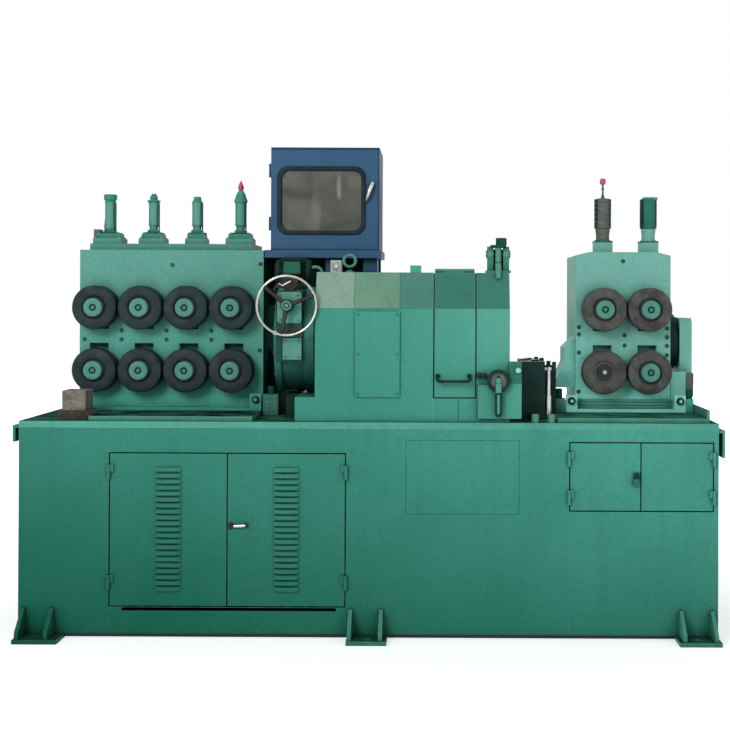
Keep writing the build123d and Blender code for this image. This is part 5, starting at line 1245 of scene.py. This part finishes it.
# %% Clamp lever
KNOB_R = 0.045
LEVER_HALF = 0.0135
lever_low, lever_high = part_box("clamp_lever")
knob = Vector((middle_of("clamp_lever").x, lever_low.y, lever_high.z - KNOB_R))
foot_z = lever_low.z + LEVER_HALF
at = places_from(*knob)
mesh = bmesh.new()
turned(mesh, [(31, 4), (33, 1), (40, 1), (44, 5), (44, 18), (40, 24), (0, 24)], knob, segments=48)
turned(mesh, [(0, 9), (29, 9), (31, 4)], knob, material=1)
turned(mesh, [(5, 8.6), (5, 5), (0, 5)], at(rise=16), segments=16)
turned(mesh, [(12, 9), (12, 3), (10, 1), (0, 1)], knob, segments=24, material=2)
outline = [(knob.x + LEVER_HALF, knob.z - 0.04), (knob.x - LEVER_HALF, knob.z - 0.04)]
outline += arc((knob.x, foot_z), (LEVER_HALF, LEVER_HALF), math.pi, math.pi, 10)
plate(mesh, outline, knob.y + 0.003, knob.y + 0.012)
slot = rounded_outline((knob.x - 0.005, foot_z - 0.001), (knob.x + 0.005, knob.z - 0.052), 0.0049)
plate(mesh, slot, knob.y + 0.0022, knob.y + 0.004, material=2)
block(mesh, at(-11, 0, -45), at(11, 10, -10), 2)
make_piece(mesh, "clamp_lever_forged", ["dark_green", "brown_grey", "head_green"],
           "clamp_lever", replace=True)
print("head ready")

# %% [markdown]
# ## Glazed cabinet
#
# A black rubber gasket holds the smoked pane. It is the thing that the eye meets first, so it is a rounded
# rubber section run round the window. The handle on the right edge is a bent silver rod.

# %% Gasket and handle
GASKET_OUT = 0.0175
# The rubber's section from its outer edge to its inner one, as (share of its width, reach in millimetres)
SECTION = ((0.0, 0.0), (0.08, 4.5), (0.25, 7.0), (0.6, 8.0), (0.88, 6.0), (1.0, 2.0), (1.0, -5.0))
glass_low, glass_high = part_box("cabinet_glass")
door_low, door_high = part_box("cabinet_door")


def window_outline(margin, radius):
    """Returns the outline of the pane, grown by a margin."""
    return rounded_outline((glass_low.x - margin, glass_low.z - margin),
                           (glass_high.x + margin, glass_high.z + margin), radius, 7)


outer = window_outline(GASKET_OUT, 0.045)
inner = window_outline(-0.001, 0.034)
mesh = bmesh.new()
loops = []
for share, reach in SECTION:
    loop = []
    for (x0, z0), (x1, z1) in zip(outer, inner):
        place = (x0 + (x1 - x0) * share, door_low.y - reach * MM, z0 + (z1 - z0) * share)
        loop.append(mesh.verts.new(place))
    loops.append(loop)
for first, second in zip(loops, loops[1:]):
    for n in range(len(first)):
        after = (n + 1) % len(first)
        mesh.faces.new((first[n], first[after], second[after], second[n]))
make_piece(mesh, "cabinet_gasket", ["gasket_rubber"], "cabinet_door", bevel=0, smooth_angle=50)

HANDLE_Z = 1.7
at = places_from(0, door_low.y, HANDLE_Z)
handle = [at(-6, -2, 87), at(-8, -16, 86), at(-16, -22, 66), at(-25, -22, 38), at(-32, -16, 16),
          at(-34, -6, 8)]
mesh = bmesh.new()
rod(mesh, handle, [7, 8.5, 8.5, 7.5, 5.5, 3.5])
make_piece(mesh, "cabinet_handle", ["rim_silver"], "cabinet_door", bevel=0)

# %% Seam and side of the cabinet
seam_x = (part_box("cabinet_stand")[0].x + 0.025, door_high.x - 0.001)
seam_top = door_high.z - 0.001
seams = (
    (seam_x[0], door_low.z + 0.0005, door_low.z + 0.005),
    (seam_x[1] - 0.0045, door_low.z + 0.005, seam_top),
    (seam_x[0], door_high.z - 0.01, seam_top),
)
mesh = bmesh.new()
for x, z0, z1 in seams:
    block(mesh, (x, door_low.y - 0.0008, z0), (seam_x[1], door_low.y + 0.001, z1))
make_piece(mesh, "cabinet_seams", ["cabinet_blue_dark"], "cabinet_door", bevel=0)

# The cabinet's right side is a darker blue: painted shade
low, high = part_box("cabinet_case")
mesh = bmesh.new()
block(mesh, (high.x - 0.001, low.y + 0.02, low.z + 0.002), (high.x + 0.0008, high.y - 0.002, high.z - 0.002))
make_piece(mesh, "cabinet_side_painted_shade", ["cabinet_blue_dark"], bevel=0)
print("cabinet ready")

# %% [markdown]
# ## Fasteners and fittings along the bed
#
# Screws in the lugs push each stand along its sole, and nuts on blocks hold the soles down. Two studs stand
# on the bed's front edge beside the right sole. The side of the left stand that faces the drum and the saddle
# under the drum are dark as painted shade, and so is a plate behind the motor; a black strip under the bed is
# painted shadow.

# %% Lug screws, hold-downs and studs
LUG_HALF = 0.023
LUG_SCREW_Z = 0.8982
LUG_SCREW_Y = LEFT_FACE[0].y + 0.014
mesh = bmesh.new()
for x in (LEFT_FACE[1].x - LUG_HALF, 0.788 + LUG_HALF, RIGHT_FACE[1].x - LUG_HALF):
    place = (x, LUG_SCREW_Y, LUG_SCREW_Z)
    turned(mesh, [(16, 0), (16, -1.5), (14, -2), (14, -15), (7, -16)], place, segments=28)
    turned(mesh, [(7, -16), (7, -13), (0, -13)], place, segments=20, material=1)
make_piece(mesh, "lug_screws", ["black_bolt", "hub_green"], bevel=0)

HOLD_Y = (-0.16, -0.112)
LEFT_HOLD_X = (-0.4485, -0.3865)
HOLD_MIDDLE_Y = sum(HOLD_Y) / 2
LEFT_HOLD_TOP = 0.919
SOLE_TOP = LEFT_FACE[0].z
RIGHT_HOLD_TOP = SOLE_TOP + 0.055
mesh = bmesh.new()
# The left block is taller than its solid, and a third one stands at the machine's right end
left, right = LEFT_HOLD_X
block(mesh, (left, HOLD_Y[0] - 0.0005, 0.8345), (right, HOLD_Y[1] + 0.0005, LEFT_HOLD_TOP))
for x in (left + 0.016, right - 0.016):
    block(mesh, (x - 0.002, HOLD_Y[0] - 0.0012, 0.8545), (x + 0.002, HOLD_Y[0], 0.916), 2)
block(mesh, (left + 0.002, HOLD_Y[0] - 0.0014, 0.887), (right - 0.002, HOLD_Y[0], 0.891), 2)
hex_head(mesh, (-0.417, HOLD_MIDDLE_Y, LEFT_HOLD_TOP), "Z", 16, 32, 1, 0)
block(mesh, (1.279, HOLD_Y[0], SOLE_TOP), (1.308, HOLD_Y[1], RIGHT_HOLD_TOP), 3)
hex_head(mesh, (1.2935, HOLD_MIDDLE_Y, RIGHT_HOLD_TOP), "Z", 14, 38, 1, 0)
hex_head(mesh, (0.761, HOLD_MIDDLE_Y, RIGHT_HOLD_TOP + 0.0002), "Z", 13.8, 39.5, 1, 0)
make_piece(mesh, "hold_downs", ["slope_green", "side_green", "hub_green", "stand_green"])

BED_TOP_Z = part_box("bed_top")[1].z
STUD_X = (0.6435, 0.7055)
mesh = bmesh.new()
for x in STUD_X:
    hex_head(mesh, (x, FRONT_Y + 0.018, BED_TOP_Z), "Z", 15, 33, start=0)
make_piece(mesh, "edge_studs", ["hub_green"])

# Thin plates are stacked along the foot of the right stand
FOOT_PLATE_X = (0.8345, 1.2305)
mesh = bmesh.new()
for level in range(3):
    low_z = SOLE_TOP + 0.0135 + level * 0.0125
    reach = 0.012 - level * 0.003
    low = (FOOT_PLATE_X[0], STAND_FACE_Y - reach, low_z)
    block(mesh, low, (FOOT_PLATE_X[1], STAND_FACE_Y + 0.001, low_z + 0.011))
make_piece(mesh, "right_foot_plates", ["right_sole_green"], bevel=1)

# %% Painted shade on the side, saddle and guard, and painted shadow under the bed
SADDLE_Y = (0.062, 0.082)
GUARD_Y = (0.1, 0.112)
side_x = LEFT_FACE[1].x
head_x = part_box("head_left_block")[0].x
# A dark skin on the left stand's side towards the drum: painted shade
mesh = bmesh.new()
block(mesh, (side_x - 0.001, STAND_FACE_Y + 0.001, 0.866), (side_x + 0.0012, 0.274, LEFT_FACE[1].z - 0.001))
make_piece(mesh, "left_stand_side_painted_shade", ["side_green"], bevel=0)

# The saddle and the block under the drum are dark plates: painted shade
saddle = [(side_x + 0.003, BED_TOP_Z), (head_x - 0.002, BED_TOP_Z), (head_x - 0.002, 0.965),
          (head_x - 0.05, 0.975), (side_x + 0.06, 1.03), (side_x + 0.003, 1.1)]
mesh = bmesh.new()
plate(mesh, saddle, *SADDLE_Y)
block(mesh, (head_x - 0.06, -0.2, BED_TOP_Z), (head_x + 0.06, -0.09, 0.927))
make_piece(mesh, "drum_saddle", ["painted_shade_green"])

# A dark plate closes the space behind the motor and under the cabinet, as painted shade
guard_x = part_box("cabinet_stand")[1].x - 0.012
guard = [(side_x + 0.003, 1.28), (head_x + 0.076, 1.28), (head_x + 0.076, HEAD_TOP_Z + 0.0005),
         (guard_x, HEAD_TOP_Z + 0.0005), (guard_x, HEAD_TOP_Z + 0.068), (side_x + 0.003, HEAD_TOP_Z + 0.068)]
mesh = bmesh.new()
plate(mesh, guard, *GUARD_Y)
make_piece(mesh, "motor_guard", ["painted_shade_green"], bevel=0.5)

# A black strip fills the gap between the bed and the floor: painted shadow
low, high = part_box("bed_floor")
mesh = bmesh.new()
block(mesh, (low.x + 0.02, low.y + 0.012, 0.001), (high.x - 0.02, low.y + 0.04, low.z + 0.0005))
make_piece(mesh, "under_bed_painted_shadow", ["socket_black"], bevel=0)

low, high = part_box("infeed_block")
mesh = bmesh.new()
block(mesh, (low.x, low.y - 0.001, low.z + 0.001), (high.x, low.y + 0.001, low.z + 0.0385))
for x0, x1 in ((low.x, low.x + 0.0165), (high.x - 0.0165, high.x)):
    block(mesh, (x0, low.y, low.z + 0.037), (x1, high.y, low.z + 0.039))
make_piece(mesh, "infeed_foot_skin", ["cast_dark"])

# %% Bracket, door seam and handle ends
BRACKET_Y = HEAD_FRONT_Y - 0.02
BRACKET_STEP_Z = 0.986
BRACKET_SCREW = (0.5745, BRACKET_Y - 0.001, 1.037)
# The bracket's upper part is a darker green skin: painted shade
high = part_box("clamp_bracket")[1]
mesh = bmesh.new()
block(mesh, (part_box("head_right_block")[1].x + 0.002, BRACKET_Y - 0.001, BRACKET_STEP_Z),
      (high.x - 0.0008, BRACKET_Y + 0.001, high.z - 0.0008))
turned(mesh, [(11, 0), (11, -7), (9, -9), (0, -9)], BRACKET_SCREW, segments=24, material=1)
make_piece(mesh, "bracket_upper_painted_shade", ["bed_green_dark", "pale_green"], bevel=0.4)

mesh = bmesh.new()
block(mesh, (0.3438, HEAD_FRONT_Y - 0.0007, BED_TOP_Z + 0.002), (0.3456, HEAD_FRONT_Y + 0.001, 0.929))
make_piece(mesh, "bridge_seam", ["socket_black"], bevel=0)

# The bosses at the handle's ends are a lighter green as painted highlight
low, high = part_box("head_door_handle")
mesh = bmesh.new()
for x in (low.x + 0.008, high.x - 0.008):
    turned(mesh, [(10, 0), (10, -5), (8.5, -7), (8.5, -9)], (x, HEAD_FRONT_Y, high.z - 0.008), segments=20)
make_piece(mesh, "handle_bosses", ["hub_green"], node="head_door", bevel=0)

# %% Outlet fittings and the drive's bare side
rod_middle = middle_of("outlet_rod")
at = places_from(rod_middle.x, rod_middle.y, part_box("outlet_rod")[1].z - 0.008)
mesh = bmesh.new()
rod(mesh, [at(-31), at(12)], 6.5, 16)
make_piece(mesh, "outlet_cross_pin", ["chrome"], bevel=0)

FLANGE_TOP = 1.046
FLANGE_X = (0.6895, 0.742)
box_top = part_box("outlet_box")[1].z
mesh = bmesh.new()
block(mesh, (FLANGE_X[0], -0.212, BED_TOP_Z), (FLANGE_X[1], -0.188, FLANGE_TOP))
# Bolts as (place along the bed, foot, height, turn), so that no two stand alike
bolts = ((0.662, box_top, 16, 0.662), (0.685, box_top, 12, 0.685), (0.712, FLANGE_TOP, 18, 0.712),
         (0.735, FLANGE_TOP, 14, 0.735))
for x, foot, rise, turn in bolts:
    hex_head(mesh, (x, -0.2, foot - 0.001), "Z", 9, rise, 1, turn)
for x, y in ((0.622, -0.12), (0.64, -0.26), (0.6, -0.2)):
    block(mesh, (x, y, box_top - 0.001), (x + 0.03, y + 0.05, box_top + 0.006), 1)
make_piece(mesh, "outlet_flange", ["dark_green", "black_bolt"])

drive_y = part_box("rear_gearbox")[0].y
mesh = bmesh.new()
block(mesh, (1.306, drive_y - 0.0015, 0.9), (1.3325, drive_y + 0.002, 1.0085))
block(mesh, (1.3315, drive_y + 0.004, 0.905), (1.3385, drive_y + 0.09, 1.002), 1)
make_piece(mesh, "drive_bare_side", ["brown_grey", "black_bolt"])

# %% Door latch, padlock and hasp
LATCH_X, LATCH_Z = -0.5, 0.434
at = places_from(LATCH_X, FRONT_Y, LATCH_Z)
mesh = bmesh.new()
rod(mesh, [at(-19, -8, -2), at(26, -8, 1)], 6.5, 16)
rod(mesh, [at(-38.5, -8, -3), at(-19, -8, -2)], 5, 14, 1)
rod(mesh, [at(26, -8, 1), at(35, -8, 1)], [8, 7], 14, 1)
block(mesh, at(-38, -4, -14), at(-24, 0, 12), 1)
make_piece(mesh, "door_latch", ["chrome", "spoke_brown"], "louver_door_right")

LOCK_X, LOCK_TOP_Z = 1.024, 0.622
at = places_from(LOCK_X, FRONT_Y, LOCK_TOP_Z - 0.002)
body = rounded_outline((LOCK_X - 0.006, LOCK_TOP_Z - 0.028), (LOCK_X + 0.017, LOCK_TOP_Z), 0.006)
mesh = bmesh.new()
plate(mesh, body, FRONT_Y - 0.017, FRONT_Y - 0.004)
bow = circle_path(at(8.5, -10.5, 14), 0.0075, 8, math.pi, -math.pi)
rod(mesh, [at(1, -10.5), *bow, at(16, -10.5)], 2.6, 10, 1)
block(mesh, at(-4, -3.5, -2), at(22, 0, 25))
make_piece(mesh, "padlock", ["bed_green_dark", "black_bolt"], node="hatch_door_left", bevel=0.5)
print("bed fittings ready")
